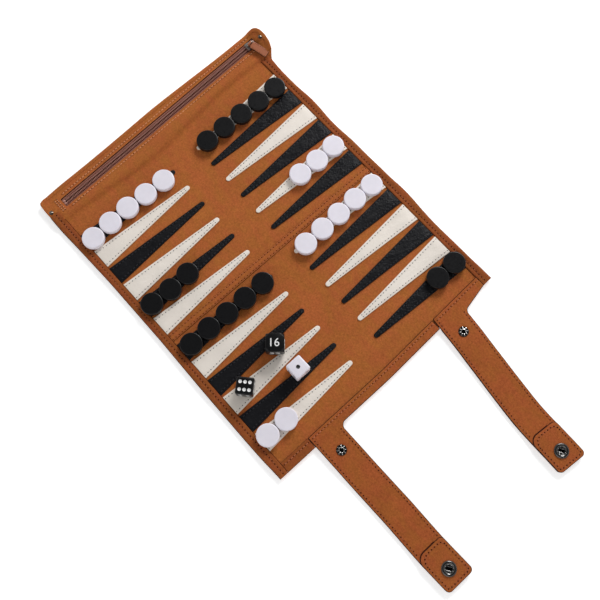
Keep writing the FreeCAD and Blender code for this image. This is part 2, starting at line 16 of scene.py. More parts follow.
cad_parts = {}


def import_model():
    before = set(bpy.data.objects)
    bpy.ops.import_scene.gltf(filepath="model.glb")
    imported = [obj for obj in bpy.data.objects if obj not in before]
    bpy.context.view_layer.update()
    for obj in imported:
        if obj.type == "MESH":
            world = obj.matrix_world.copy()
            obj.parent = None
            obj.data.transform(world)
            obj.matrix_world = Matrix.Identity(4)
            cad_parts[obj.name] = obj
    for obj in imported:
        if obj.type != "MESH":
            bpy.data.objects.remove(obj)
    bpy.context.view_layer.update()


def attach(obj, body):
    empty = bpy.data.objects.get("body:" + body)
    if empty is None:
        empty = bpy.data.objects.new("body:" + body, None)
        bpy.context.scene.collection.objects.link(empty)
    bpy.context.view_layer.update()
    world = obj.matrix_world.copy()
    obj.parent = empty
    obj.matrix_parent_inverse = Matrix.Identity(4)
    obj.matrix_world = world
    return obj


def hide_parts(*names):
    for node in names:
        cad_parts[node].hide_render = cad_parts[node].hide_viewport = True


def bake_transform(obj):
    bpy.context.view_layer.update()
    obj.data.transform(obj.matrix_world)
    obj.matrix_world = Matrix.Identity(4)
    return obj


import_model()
scene = bpy.context.scene
rng = random.Random(7)

FIELD = np.array((-65.0, -3.75, 0.0))
UP = (0.0, 0.0, 1.0)
SHEET_TOP = 2.6
TRIM_LOW = SHEET_TOP + 0.02
POINT_LOW = SHEET_TOP - 0.02
PLY_LOW, PLY_TOP = 1.6, 2.7
MAT_TOP = 3.6
STRAP_TOP = MAT_TOP + 0.1
PIECE_LOW = MAT_TOP + 0.3


def smooth(t):
    """Smooth step from 0 to 1."""
    t = np.clip(t, 0.0, 1.0)
    return t * t * (3 - 2 * t)


def ease(x, stops):
    """Value at x along stops (x, value), with the corners eased."""
    at, value = zip(*stops)
    return sum(np.interp(np.asarray(x, float) + d, at, value) for d in (-5, -2, 2, 5)) / 4


# ---- finishes

class Paint:
    """Small helper to write the nodes of a material, or of the world."""

    def __init__(self, name, owner=bpy.data.materials, shader="Principled BSDF", place="Object"):
        self.material = owner.new(name)
        self.material.use_nodes = True
        self.tree = self.material.node_tree
        self.shader = self.tree.nodes[shader]
        self.place = self.tree.nodes.new("ShaderNodeTexCoord").outputs[place]

    def give(self, node, sockets):
        """Set or wire a node's sockets."""
        for key, value in sockets.items():
            if isinstance(value, bpy.types.NodeSocket):
                self.tree.links.new(value, node.inputs[key])
            else:
                node.inputs[key].default_value = value
        return node

    def node(self, kind, sockets, **settings):
        made = self.tree.nodes.new("ShaderNode" + kind)
        for key, value in settings.items():
            setattr(made, key, value)
        return self.give(made, sockets)

    def turned(self, turn, stretch=(1, 1, 1)):
        sockets = {"Scale": stretch, "Rotation": (0, 0, turn), "Vector": self.place}
        return self.node("Mapping", sockets).outputs["Vector"]

    def noise(self, scale, detail=3.0, rough=0.55, stretch=(1, 1, 1), turn=0.0):
        place = self.turned(turn, stretch)
        sockets = {"Scale": scale, "Detail": detail, "Roughness": rough, "Vector": place}
        return self.node("TexNoise", sockets).outputs["Fac"]

    def ramp(self, fac, *stops):
        made = self.node("ValToRGB", {"Fac": fac})
        points = made.color_ramp.elements
        while len(points) < len(stops):
            points.new(0.5)
        for point, (at, colour) in zip(points, stops):
            point.position = at
            point.color = (*colour, 1)
        return made.outputs["Color"]

    def tone(self, fac, colour, low, high, start=0.3, end=0.7):
        """Colour from low to high times its own brightness as fac goes from start to end."""
        return self.ramp(fac, (start, scaled(colour, low)), (end, scaled(colour, high)))

    def mix(self, fac, one, two, how="MIX"):
        return self.node("Mix", {0: fac, 6: one, 7: two}, data_type="RGBA", blend_type=how).outputs[2]

    def span(self, fac, low, high):
        """Value from low to high as fac goes from 0.3 to 0.7."""
        sockets = {"Value": fac, "From Min": 0.3, "From Max": 0.7, "To Min": low, "To Max": high}
        return self.node("MapRange", sockets).outputs["Result"]

    def bump(self, height, strength, depth, under=None):
        sockets = {"Strength": strength, "Distance": depth, "Height": height}
        if under is not None:
            sockets["Normal"] = under
        return self.node("Bump", sockets).outputs["Normal"]

    def shade(self, **sockets):
        """Set or wire the shader's sockets, whose spaces are written as underscores."""
        self.give(self.shader, {key.replace("_", " "): value for key, value in sockets.items()})
        return self.material


def rgb(red, green, blue):
    """Linear colour from screen values 0 to 255."""
    return tuple(((v / 255 + 0.055) / 1.055) ** 2.4 if v > 10 else v / 255 / 12.92
                 for v in (red, green, blue))


def scaled(colour, *factors):
    """Colour times one factor, or times one for each channel."""
    return tuple(min(1.0, c * f) for c, f in zip(colour, factors * (3 // len(factors))))


def suede(name, colour):
    """Napped leather: broad brushed patches, small mottling and a fine fibrous surface."""
    paint = Paint(name)
    patches = paint.noise(26, 4, 0.6, (1, 0.55, 1), 0.6)
    broad = paint.ramp(patches, (0.3, scaled(colour, 0.85)), (0.5, colour), (0.7, scaled(colour, 1.13)))
    reds = paint.noise(75, 3, 0.6, (0.7, 1.2, 1), 1.1)
    hue = paint.ramp(reds, (0.38, scaled(colour, 0.98, 1.1, 0.8)), (0.62, scaled(colour, 1.08, 0.86, 1.05)))
    body = paint.mix(0.45, broad, hue)
    nap = paint.noise(640, 5, 0.78)
    shade = paint.ramp(nap, (0.34, (0.62, 0.58, 0.54)), (0.66, (1.2, 1.2, 1.2)))
    body = paint.mix(0.75, body, shade, "MULTIPLY")
    fibres = paint.noise(2600, 4, 0.75, (1, 0.6, 1), 0.5)
    normal = paint.bump(fibres, 0.5, 0.0004, paint.bump(patches, 0.3, 0.002))
    return paint.shade(Base_Color=body, Normal=normal, Roughness=0.94, Specular_IOR_Level=0.15,
                       Sheen_Weight=0.12, Sheen_Roughness=0.45, Sheen_Tint=(1.0, 0.62, 0.36, 1))


def grained(name, colour, rough, cell, depth, spec, **sheen):
    """Smooth leather with a pebbled grain and soft creases."""
    paint = Paint(name)
    cloud = paint.noise(45, 4, 0.55)
    tone = paint.tone(cloud, colour, 0.94, 1.03, 0.32, 0.68)
    pebble = paint.node("TexVoronoi", {"Scale": cell, "Vector": paint.place}, feature="SMOOTH_F1")
    crease = paint.noise(cell * 0.22, 5, 0.62, (1, 0.45, 1), 0.5)
    grain = paint.bump(pebble.outputs["Distance"], 0.4, depth)
    normal = paint.bump(crease, 0.6, depth * 4.0, grain)
    gloss = paint.span(cloud, rough - 0.06, rough + 0.08)
    return paint.shade(Base_Color=tone, Normal=normal, Roughness=gloss, Specular_IOR_Level=spec, **sheen)


def plastic(name, colour, rough, soft=0.0, spec=0.5):
    """Moulded plastic with faint clouding and a slightly uneven polish."""
    paint = Paint(name)
    cloud = paint.noise(120, 3, 0.5)
    tone = paint.tone(cloud, colour, 0.96, 1.02)
    gloss = paint.span(paint.noise(420, 3, 0.6), rough - 0.05, rough + 0.06)
    normal = paint.bump(paint.noise(500, 2, 0.5), 0.03, 0.0002)
    if soft:
        paint.shade(Subsurface_Weight=soft, Subsurface_Scale=0.002, Subsurface_Radius=(1.0, 0.9, 0.85))
    return paint.shade(Base_Color=tone, Roughness=gloss, Normal=normal, Specular_IOR_Level=spec)


def metal(name, colour, rough):
    """Plated metal with fine polishing marks."""
    paint = Paint(name)
    marks = paint.noise(900, 3, 0.6, (1, 6, 1), 0.4)
    tone = paint.tone(marks, colour, 0.85, 1.0)
    gloss = paint.span(marks, rough - 0.05, rough + 0.1)
    normal = paint.bump(marks, 0.06, 0.0001)
    return paint.shade(Base_Color=tone, Roughness=gloss, Normal=normal, Metallic=1.0)


def woven(name, colour, pitch):
    """Closely woven tape: fine ribs crossed by threads."""
    paint = Paint(name)
    ribs, threads = (paint.node("TexWave", {"Scale": pitch, "Distortion": 0.4,
                                            "Vector": paint.turned(turn)}).outputs["Fac"]
                     for turn in (SKEW, SKEW + math.pi / 2))
    cloth = paint.mix(0.5, ribs, threads)
    tone = paint.tone(cloth, colour, 0.7, 1.15, 0.2, 0.8)
    normal = paint.bump(cloth, 0.6, 0.0003)
    return paint.shade(Base_Color=tone, Normal=normal, Roughness=0.85, Specular_IOR_Level=0.2)


def thread(name, colour):
    """Twisted sewing thread."""
    paint = Paint(name)
    twist = paint.noise(1800, 2, 0.5, (3, 1, 1), 0.8)
    tone = paint.tone(twist, colour, 0.7, 1.15)
    normal = paint.bump(twist, 0.4, 0.0002)
    return paint.shade(Base_Color=tone, Normal=normal, Roughness=0.6, Specular_IOR_Level=0.3,
                       Sheen_Weight=0.2)


SKEW = math.radians(1.6)
FINISH = {
    "field": suede("suede_field", rgb(177, 102, 52)),
    "border": suede("suede_border", rgb(152, 83, 42)),
    "strap": suede("suede_strap", rgb(170, 94, 48)),
    "under": suede("suede_underside", rgb(120, 68, 38)),
    # Cut edges: dark edge dye, darkened further as painted shade for the dark outlines.
    "edge": suede("suede_edge_dye_and_shade", rgb(48, 25, 15)),
    "cream": grained("cream_leather", rgb(242, 233, 223), 0.55, 900, 0.0003, 0.35),
    # The cream points' cut edges are tinted warm: painted bounce light from the tan suede.
    "cream_edge": grained("cream_edge_painted_bounce", rgb(232, 208, 180), 0.7, 900, 0.0003, 0.2),
    "black": grained("black_leather", rgb(15, 15, 19), 0.46, 800, 0.0006, 0.2, Sheen_Weight=0.03,
                     Sheen_Tint=(0.6, 0.7, 1.0, 1), Sheen_Roughness=0.4),
    "black_edge": grained("black_cut_edge", rgb(14, 12, 13), 0.7, 800, 0.0003, 0.2),
    "tab": grained("pull_leather", rgb(160, 92, 58), 0.6, 1100, 0.0002, 0.35),
    "tape": woven("zip_tape", rgb(166, 110, 94), 420),
    "coil": plastic("zip_coil", rgb(178, 126, 112), 0.45),
    "zip_metal": metal("zip_metal", (0.42, 0.37, 0.34), 0.26),
    "snap": metal("snap_metal", (0.1, 0.097, 0.094), 0.2),
    # Brighter copy of the press-stud metal: painted highlight.
    "snap_bright": metal("snap_painted_highlight_metal", (0.7, 0.69, 0.67), 0.2),
    # Near-black copy of the press-stud metal: painted shade in holes, wells and grooves.
    "snap_dark": metal("snap_painted_shade_metal", (0.02, 0.02, 0.022), 0.45),
    "rivet": metal("rivet_metal", (0.3, 0.26, 0.22), 0.16),
    "white": plastic("white_plastic", rgb(240, 236, 246), 0.34, 0.12),
    "ivory_mark": plastic("white_marks", rgb(240, 240, 240), 0.45),
    "ebony": plastic("black_plastic", rgb(14, 14, 16), 0.32, spec=0.3),
    "ebony_mark": plastic("black_marks", rgb(14, 14, 15), 0.5),
    "tan_thread": thread("tan_thread", rgb(222, 150, 104)),
    "pink_thread": thread("pink_thread", rgb(194, 116, 80)),
    "brown_thread": thread("brown_thread", rgb(172, 94, 56)),
    "cream_thread": thread("cream_thread", rgb(238, 230, 220)),
    "black_thread": thread("black_thread", rgb(44, 45, 52)),
    # Dark finishes for needle holes, and for dark lines at gaps and edges: painted shade.
    "needle": grained("needle_hole", rgb(68, 25, 12), 0.9, 900, 0.0002, 0.1),
    "needle_grey": grained("needle_hole_grey", rgb(92, 90, 88), 0.9, 900, 0.0002, 0.1),
    "needle_black": grained("needle_hole_black", rgb(10, 10, 11), 0.9, 900, 0.0002, 0.1),
}


# ---- mesh building

class Build:
    """Gathers vertices in field millimetres and faces, each with its finish."""

    def __init__(self):
        self.verts, self.faces, self.kinds, self.count = [], [], [], 0

    def add(self, verts, faces, kind):
        """kind is one finish, or a list with one for each face."""
        self.faces.extend([tuple(int(i) + self.count for i in face) for face in faces])
        self.kinds.extend([kind] * len(faces) if isinstance(kind, str) else kind)
        self.verts.append(np.asarray(verts, float))
        self.count += len(verts)

    def scatter(self, shape, origins, axes, kind):
        """Copies of a small shape (verts, faces); axes holds each copy's three directions."""
        placed = np.einsum("vk,nkd->nvd", np.asarray(shape[0], float), axes) + origins[:, None, :]
        for verts in placed:
            self.add(verts, shape[1], kind)

    def mesh(self, name, shape=None, crisp=38, origin=FIELD):
        """Mesh in metres; shape moves the points, and corners sharper than crisp stay sharp."""
        co = np.vstack(self.verts)
        if shape is not None:
            co = shape(co)
        made = bpy.data.meshes.new(name)
        made.from_pydata(((co + origin) / 1000).tolist(), [], self.faces)
        kinds = sorted(set(self.kinds))
        for kind in kinds:
            made.materials.append(FINISH[kind])
        made.polygons.foreach_set("material_index", [kinds.index(kind) for kind in self.kinds])
        return smoothed(made, crisp)

    def make(self, name, slot, body=None, bend=None, stands_for=(), shape=None, crisp=38):
        return settle(placed(name, self.mesh(name, shape, crisp)), body, bend, stands_for)


def smoothed(mesh, crisp):
    """Smooth shading, broken where faces meet at more than crisp degrees."""
    mesh.polygons.foreach_set("use_smooth", [True] * len(mesh.polygons))
    mesh.update()
    mesh.set_sharp_from_angle(angle=math.radians(crisp))
    return mesh


def placed(name, data):
    """New object in the scene."""
    made = bpy.data.objects.new(name, data)
    scene.collection.objects.link(made)
    return made


def settle(made, body=None, bend=None, stands_for=()):
    """Fix an object to its body, or, when it is given a bend, bake its placement into its mesh."""
    if bend:
        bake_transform(made)
    else:
        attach(made, body)
    if stands_for:
        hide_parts(*stands_for)
    return made


def world(x, y, z=0.0):
    """Frame position in metres of a field position in millimetres."""
    return tuple((np.array((x, y, z)) + FIELD) / 1000)


def fine(poly, gap):
    """Closed outline with no side longer than gap."""
    poly = np.asarray(poly, float)
    out = []
    for here, there in zip(poly, np.roll(poly, -1, 0)):
        steps = max(1, int(math.ceil(np.linalg.norm(there - here) / gap - 1e-6)))
        out.extend(here + (there - here) * k / steps for k in range(steps))
    return np.array(out)


def box(x0, y0, x1, y1, radius=0):
    """Corners of a rectangle, all with one radius."""
    return [(x0, y0, radius), (x1, y0, radius), (x1, y1, radius), (x0, y1, radius)]


def arms(before, corner, after):
    """Unit directions from a corner to its two neighbours."""
    return [way / np.linalg.norm(way) for way in (np.array(before) - corner, np.array(after) - corner)]


def outline(corners, gap=3.0):
    """Counter-clockwise outline through corners (x, y, radius)."""
    points = []
    for number, (x, y, radius) in enumerate(corners):
        corner = np.array((x, y), float)
        if radius <= 0:
            points.append(corner)
            continue
        before, after = arms(corners[number - 1][:2], corner, corners[(number + 1) % len(corners)][:2])
        half = math.acos(np.clip(before @ after, -1, 1)) / 2
        middle = (before + after) / np.linalg.norm(before + after)
        centre = corner + middle * radius / math.sin(half)
        first = corner + before * radius / math.tan(half) - centre
        last = corner + after * radius / math.tan(half) - centre
        low = math.atan2(first[1], first[0])
        sweep = (math.atan2(last[1], last[0]) - low + math.pi) % (2 * math.pi) - math.pi
        steps = max(3, int(abs(sweep) * radius / 0.8), int(abs(sweep) / 0.26))
        for k in range(steps + 1):
            angle = low + sweep * k / steps
            points.append(centre + radius * np.array((math.cos(angle), math.sin(angle))))
    return fine(points, gap)


def inset(loop, distance):
    """Loop moved to its left by distance, with mitred corners."""
    step = np.roll(loop, -1, 0) - loop
    normal = np.stack([-step[:, 1], step[:, 0]], 1) / np.linalg.norm(step, axis=1)[:, None]
    both = normal + np.roll(normal, 1, 0)
    length = np.maximum((both ** 2).sum(1), 0.8)
    return loop + both * (2 * distance / length)[:, None]


def within(points, loop):
    """Which points lie inside a closed loop."""
    x, y = points[:, 0][:, None], points[:, 1][:, None]
    ax, ay = loop[:, 0], loop[:, 1]
    bx, by = np.roll(ax, -1), np.roll(ay, -1)
    crosses = (ay > y) != (by > y)
    at = ax + (y - ay) * (bx - ax) / np.where(by == ay, 1e-12, by - ay)
    return (crosses & (x < at)).sum(1) % 2 == 1


def clearance(points, loop):
    """Distance from points to a closed loop."""
    best = np.full(len(points), 1e9)
    for start, way in zip(loop, np.roll(loop, -1, 0) - loop):
        t = np.clip(((points - start) @ way) / max(way @ way, 1e-12), 0, 1)
        best = np.minimum(best, np.linalg.norm(points - start - t[:, None] * way, axis=1))
    return best


def strip(one, two, count):
    """Faces between two closed rings of count points that start at one and at two."""
    return [(one + k, two + k, two + (k + 1) % count, one + (k + 1) % count) for k in range(count)]


def circle(radius, sides, flat=1.0):
    """Points (across, up) of a ring, pressed flat by a factor."""
    angles = np.arange(sides) * 2 * math.pi / sides
    return np.column_stack([radius * np.cos(angles), radius * flat * np.sin(angles)])


def level(points, z):
    """Points (x, y) put at height z."""
    return np.column_stack([points, np.full(len(points), z)])


def slab(build, rim, low, high, kind, side=None, under=None, soft=0.45, holes=(), step=8.0,
         columns=None, groove=False, flush=(), faced=1):
    """Flat piece of leather with rounded edges, meshed inside so that it can bend.

    kind is the top's finish, side and under the others'. columns sets the inner mesh's x values.
    flush holds (point, normal) of lines where the piece is cut square to meet the next one.
    faced is the number of edge bands, from the top, that keep the top's finish.
    """
    side, under = side or kind, under or kind
    loops = [np.asarray(rim, float)] + [np.asarray(hole, float)[::-1] for hole in holes]
    soft = min(soft, (high - low) * 0.48)
    base = soft * 0.6
    profile = [(soft * (1 - math.sin(a)), high - soft * (1 - math.cos(a)))
               for a in (math.pi / 6, math.pi / 3, math.pi / 2)]
    if groove:
        middle = (high + low) / 2
        profile += [(0, middle + 0.12), (0.18, middle), (0, middle - 0.12)]
    profile += [(0, low + base), (base * 0.3, low + base * 0.3)]

    def moved(loop, distance):
        out = inset(loop, distance)
        for point, normal in flush:
            on_line = np.abs((loop - point) @ normal) < 0.05
            out[on_line] -= np.outer((out[on_line] - loop[on_line]) @ normal, normal)
        return out

    inner = [moved(loop, soft) for loop in loops]
    corner_low, corner_high = loops[0].min(0), loops[0].max(0)
    xs = np.arange(corner_low[0] + step / 2, corner_high[0], step) if columns is None else columns
    ys = np.arange(corner_low[1] + step / 2, corner_high[1], step)
    grid = np.array([(x, y) for x in xs for y in ys]).reshape(-1, 2)
    for number, loop in enumerate(inner):
        grid = grid[within(grid, loop) == (number == 0)]
    for loop in inner:
        grid = grid[clearance(grid, loop) > min(step, 3.0) * 0.4]

    flat = np.vstack(inner + [grid])
    sizes = [len(loop) for loop in loops]
    offsets = [sum(sizes[:k]) for k in range(len(sizes))]
    edges = [(offset + i, offset + (i + 1) % n) for offset, n in zip(offsets, sizes) for i in range(n)]
    out, _, tris, origin, _, _ = delaunay_2d_cdt([Vector(p) for p in flat], edges, [], 1, 1e-7)
    if len(out) != len(flat):
        raise RuntimeError("an outline crosses itself")
    tris = np.array([[origin[i][0] for i in tri] for tri in tris])
    for hole in inner[1:]:
        tris = tris[~within(flat[tris].mean(1), hole)]

    bottom = flat.copy()
    bottom[:sum(sizes)] = np.vstack([moved(loop, base) for loop in loops])
    rings = [level(np.vstack([moved(loop, d) for loop in loops]), z) for d, z in profile]
    starts = [0] + [2 * len(flat) + k * sum(sizes) for k in range(len(rings))] + [len(flat)]
    faces, kinds = [*tris, *(tris[:, ::-1] + len(flat))], [kind] * len(tris) + [under] * len(tris)
    for number, (upper, lower) in enumerate(zip(starts, starts[1:])):
        for offset, n in zip(offsets, sizes):
            faces += strip(upper + offset, lower + offset, n)
        kinds += [kind if number < faced else side] * sum(sizes)
    build.add(np.vstack([level(flat, high), level(bottom, low)] + rings), faces, kinds)


def tube(build, path, section, kind, ups=None):
    """Sweep a closed section (across, up) along a path.

    section may differ at each station, and kind may be a list with one finish for each side.
    """
    path = np.asarray(path, float)
    count = len(path)
    way = np.gradient(path, axis=0)
    way /= np.linalg.norm(way, axis=1)[:, None]
    across = np.cross(way, np.tile(UP, (count, 1)) if ups is None else ups)
    across /= np.linalg.norm(across, axis=1)[:, None]
    up = np.cross(across, way)
    section = np.asarray(section, float)
    if section.ndim == 2:
        section = np.tile(section, (count, 1, 1))
    sides = section.shape[1]
    rings = path[:, None] + across[:, None] * section[:, :, :1] + up[:, None] * section[:, :, 1:]
    faces = []
    for i in range(0, (count - 1) * sides, sides):
        faces += [(i + k, i + (k + 1) % sides, i + sides + (k + 1) % sides, i + sides + k)
                  for k in range(sides)]
    faces += [tuple(range(sides))[::-1], tuple((count - 1) * sides + k for k in range(sides))]
    if not isinstance(kind, str):
        kind = kind * (count - 1) + kind[:1] * 2
    build.add(rings.reshape(-1, 3), faces, kind)


def lathe(build, profile, centre, kinds, segments=48):
    """Turn a profile (radius, height) about Z. kinds names each band's finish, the last one's on."""
    verts, rows = [], []
    for radius, height in profile:
        turn = circle(radius, segments if radius else 1)
        rows.append(range(len(verts), len(verts) + len(turn)))
        verts += [(x, y, height) for x, y in turn]
    faces, finishes = [], []
    for number, (one, two) in enumerate(zip(rows, rows[1:])):
        for k in range(segments):
            m = (k + 1) % segments
            quad = (one[k % len(one)], one[m % len(one)], two[m % len(two)], two[k % len(two)])
            faces.append(tuple(dict.fromkeys(quad)))
        finishes += [kinds[min(number, len(kinds) - 1)]] * segments
    build.add(np.array(verts) + centre, faces, finishes)


# ---- stitching

def thread_shape(length, width, height):
    """One stitch: a short strand that dives into the leather at both ends."""
    rows = [(-0.5, 0.55, -0.5), (-0.36, 0.9, 0.45), (-0.12, 1.0, 0.75), (0.12, 1.0, 0.75),
            (0.36, 0.9, 0.45), (0.5, 0.55, -0.5)]
    sides = 6
    verts = [(along * length, a, lift * height + b) for along, girth, lift in rows
             for a, b in circle(width / 2 * girth, sides, height / width)]
    faces = [face for i in range(len(rows) - 1) for face in strip(i * sides, (i + 1) * sides, sides)]
    faces.append(tuple(range(sides)))
    faces.append(tuple((len(rows) - 1) * sides + k for k in range(sides))[::-1])
    return verts, faces


def hole_shape(radius):
    """Needle hole: a small dished mark with a low puckered rim; its dark finish is painted shade in the
    hole.
    """
    sides = 8
    rings = ((radius * 0.55, 0.02), (radius, 0.06), (radius * 1.15, -0.1))
    verts = [(0, 0, 0)] + [(x, y, z) for r, z in rings for x, y in circle(r, sides)] + [(0, 0, -0.3)]
    faces = [(0, 1 + k, 1 + (k + 1) % sides) for k in range(sides)]
    faces += strip(1, 1 + sides, sides) + strip(1 + sides, 1 + 2 * sides, sides)
    last = 1 + 2 * sides
    faces += [(last + k, len(verts) - 1, last + (k + 1) % sides) for k in range(sides)]
    return verts, faces


def resample(path, pitch):
    """Path with evenly spaced points about a pitch apart."""
    path = np.asarray(path, float)
    reach = np.concatenate([[0], np.cumsum(np.linalg.norm(np.diff(path, axis=0), axis=1))])
    at = np.linspace(0, reach[-1], max(1, int(round(reach[-1] / pitch))) + 1)
    return np.column_stack([np.interp(at, reach, path[:, k]) for k in range(path.shape[1])])


def stitches(build, path, z, strand, hole="needle", pitch=3.4, width=0.6, hole_size=0.5, length=0.56):
    """Row of stitches along a path (x, y) on a surface at height z, with a hole at each end."""
    points = resample(path, pitch)
    gap = np.linalg.norm(points[1] - points[0])
    way = np.gradient(points, axis=0)
    way /= np.linalg.norm(way, axis=1)[:, None]
    lift = np.array([rng.uniform(-0.03, 0.05) for _ in points])
    turn = np.array([rng.gauss(0, 0.09) for _ in points])
    c, s = np.cos(turn), np.sin(turn)
    along = np.column_stack([way[:, 0] * c - way[:, 1] * s, way[:, 0] * s + way[:, 1] * c, 0 * turn])
    side = np.column_stack([-along[:, 1], along[:, 0], 0 * turn])
    axes = np.stack([along, side, np.tile(UP, (len(points), 1))], 1)
    build.scatter(hole_shape(hole_size), np.column_stack([points, 0 * turn + z + 0.02]), axes, hole)
    spots = np.column_stack([(points[1:] + points[:-1]) / 2, z + lift[1:]])
    build.scatter(thread_shape(gap * length, width, width * 0.55), spots, axes[1:], strand)


# ---- shape of the laid-out mat

NEAR_OUT = [(-178, -125.6), (-143, -126.4), (-110, -125.2), (-75, -124.3), (-6, -124.4),
            (49, -125.6), (101, -126.2), (126, -126.2), (151, -125.2)]
FAR_OUT = [(-148, 126.2), (-130, 124.6), (-102, 124.6), (-90, 125.8), (-76, 125.8), (-61, 124.6),
           (-47, 124.6), (-31, 125.8), (19, 125.7), (30, 127.0), (43, 127.3), (57, 126.0),
           (71, 125.2), (95, 125.5), (121, 125.2), (132, 126.0), (150, 126.4)]
CREASE = [(-126, -145.9), (-92, -144.3), (-51, -140.4), (-23, -138.6), (20, -142), (64, -147.2),
          (134, -148.0)]
SEAM_X = -146.0
FOLD = ("mat", "pocket", world(SEAM_X + 6, 0), world(SEAM_X - 6, 0))
SIDE_IN = 116.8
END_SLOPE = 4.8 / 125.5
END_OUT, END_LIP, END_ROW, END_IN = 150.4, 149.3, 143.6, 140.5
BAR_END = 116.5


def near_out(x):
    return ease(x, NEAR_OUT)


def far_out(x):
    return ease(x, FAR_OUT)


def end_x(reach, y):
    """Straight up to the middle of the straps' end, then leaning in towards the far side."""
    return reach - END_SLOPE * np.maximum(y, 0.0)


def lifted(p):
    """Lay the flat layers as the relaxed leather lies: waved far edge and a curled-up corner."""
    p = p.copy()
    x, y = p[:, 0], p[:, 1]
    wave = 0.75 + 0.6 * np.sin(x / 19.0 + 1.0) + 0.4 * np.sin(x / 8.3)
    far = smooth((y - 117.5) / 8) * smooth((x + 152) / 16) * np.clip(wave, 0, None)
    near = smooth((-118.5 - y) / 8) * np.clip(0.35 + 0.4 * np.sin(x / 17.0), 0, None)
    ear = 6.0 * smooth((y - 121.5) / 15) * smooth((-137 - x) / 16)
    left = 1.3 * smooth((-168.5 - x) / 9) * (0.5 + 0.5 * np.sin(y / 23.0 + 0.6))
    p[:, 2] += far + near + ear + left * smooth((118 - np.abs(y)) / 20)
    return p


def risen(p):
    """As lifted, for top layers that climb from the field on to the pocket over its crease."""
    q = lifted(p)
    x, y = p[:, 0], p[:, 1]
    crease = np.interp(y, *zip(*CREASE))
    q[:, 2] += 1.62 * smooth((crease + 3.0 - x) / 7)
    valley = np.exp(-((x - crease + 0.3) / 2.8) ** 2)
    share = smooth((p[:, 2] - 0.3) / 2.2)
    q[:, 2] -= 1.4 * valley * share * smooth((124 - np.abs(y)) / 6)
    pillow = np.clip((crease - 2 - x) / 12, 0, 1)
    q[:, 2] += 0.75 * share * np.sin(math.pi * pillow) * smooth((112 - np.abs(y)) / 15)
    q[:, 2] += 0.12 * share * np.sin(x / 13.0) * np.sin(y / 16.0)
    return q


def turned_at(x, y, turn, u, v):
    """Point (u, v) of axes that stand at (x, y) and are turned by turn."""
    return (x + u * math.cos(turn) - v * math.sin(turn), y + u * math.sin(turn) + v * math.cos(turn))


def zip_at(u, v):
    """Field position of a point beside (u) and along (v) the zip's centre line."""
    return turned_at(-163.85, 5.8, SKEW, u, v)


def zip_loop(corners, gap=2.0):
    """Outline given in zip coordinates (u, v, radius)."""
    return np.column_stack(zip_at(*outline(corners, gap).T))


# Outer leather, in one piece from the straps' end round under the pocket.
EAR = [(-146.2, 128.4), (-149.8, 131.6), (-156, 134.3), (-164, 135.8), (-170.5, 135.7),
       (-175.0, 134.0), (-177.6, 130.8), (-178.4, 126), (-178.2, 118)]
POCKET_SIDE = [(-177.9, 104), (-178.0, 55), (-178.2, 7), (-177.2, -40), (-176.2, -78),
               (-175.5, -118)]
sheet_rim = fine([(x, near_out(x) + 1.1) for x in np.arange(-152, 149, 7.0)]
                 + [(149.0, near_out(149.0) + 1.3), (149.0, 0.0), (end_x(149.0, 124.6), 124.9)]
                 + [(x, far_out(x) - 1.1) for x in np.arange(136, -141, -7.0)]
                 + [(-143.5, 126.2), *EAR, *POCKET_SIDE, (-175.2, -122.4), (-174.2, -124.6),
                    (-172.2, -125.4), (-158, near_out(-158) + 0.3)], 3.0)
fold_columns = np.concatenate([np.arange(-174, -154, 5.0), np.arange(-153, -133, 1.15),
                               np.arange(-130, 149, 8.0)])
backing = Build()
slab(backing, inset(sheet_rim, 0.5), 0.0, 1.3, "under", "edge", "field", columns=fold_columns)
backing_piece = backing.make("mat_backing", "suede", bend=FOLD, shape=lifted,
                             stands_for=("outer_panel", "pocket_back"))

# Playing face and the pocket's front, also in one piece, with the zip's window.
face = Build()
slab(face, sheet_rim, 1.3, SHEET_TOP, "field", "edge", "under", columns=fold_columns, step=7.0,
     holes=[zip_loop(box(-4.3, -114, 4.3, 119.7, 0.8), 3.0)])
for u in (-7.3, 7.3):
    stitches(face, [zip_at(u, v) for v in (-110, 117)], 2.64, "tan_thread", pitch=3.3, width=0.85,
             hole_size=0.36, length=0.66)
for v in (-116.8, -119.0):
    stitches(face, [zip_at(u, v) for u in (-7.0, 6.0)], TRIM_LOW, "tan_thread", pitch=2.2, width=0.75,
             length=0.8)
face_piece = face.make("playing_face", "suede", bend=FOLD, shape=risen,
                       stands_for=("playing_panel", "pocket_front"))

# Folded rim round the pocket's three free sides. Its section runs round from the top's crest.
RIM = [(0.35, 4.5), (1.2, 4.66), (2.8, 4.68), (3.3, 4.55), (3.4, 4.2), (3.4, 3.0), (1.5, 3.0),
       (1.5, 1.3), (3.6, 1.3), (3.6, 0.0), (1.6, -0.05), (0.75, 0.1), (0.35, 1.2), (0.1, 3.4),
       (0.0, 4.1)]
rim_path = resample([(-158.5, near_out(-158.5) + 0.2), (-165, near_out(-165)), (-171.5, -125.5),
                     (-174.3, -124.3), (-175.5, -121.5), (-175.6, -117), *POCKET_SIDE[::-1],
                     *EAR[:0:-1]], 2.5)
# The rim's narrow inner and lower faces take the dark edge finish, partly painted shade.
rim_kinds = ["edge" if max(one[0], two[0]) < 0.8 and min(one[1], two[1]) < 4.0 else "field"
             for one, two in zip(RIM, RIM[1:] + RIM[:1])]
pocket_rim = Build()
tube(pocket_rim, level(rim_path, 0.0), RIM, rim_kinds)
pocket_rim.make("pocket_rim", "edge_lining", body="pocket", shape=lifted, stands_for=("pocket_edge",))

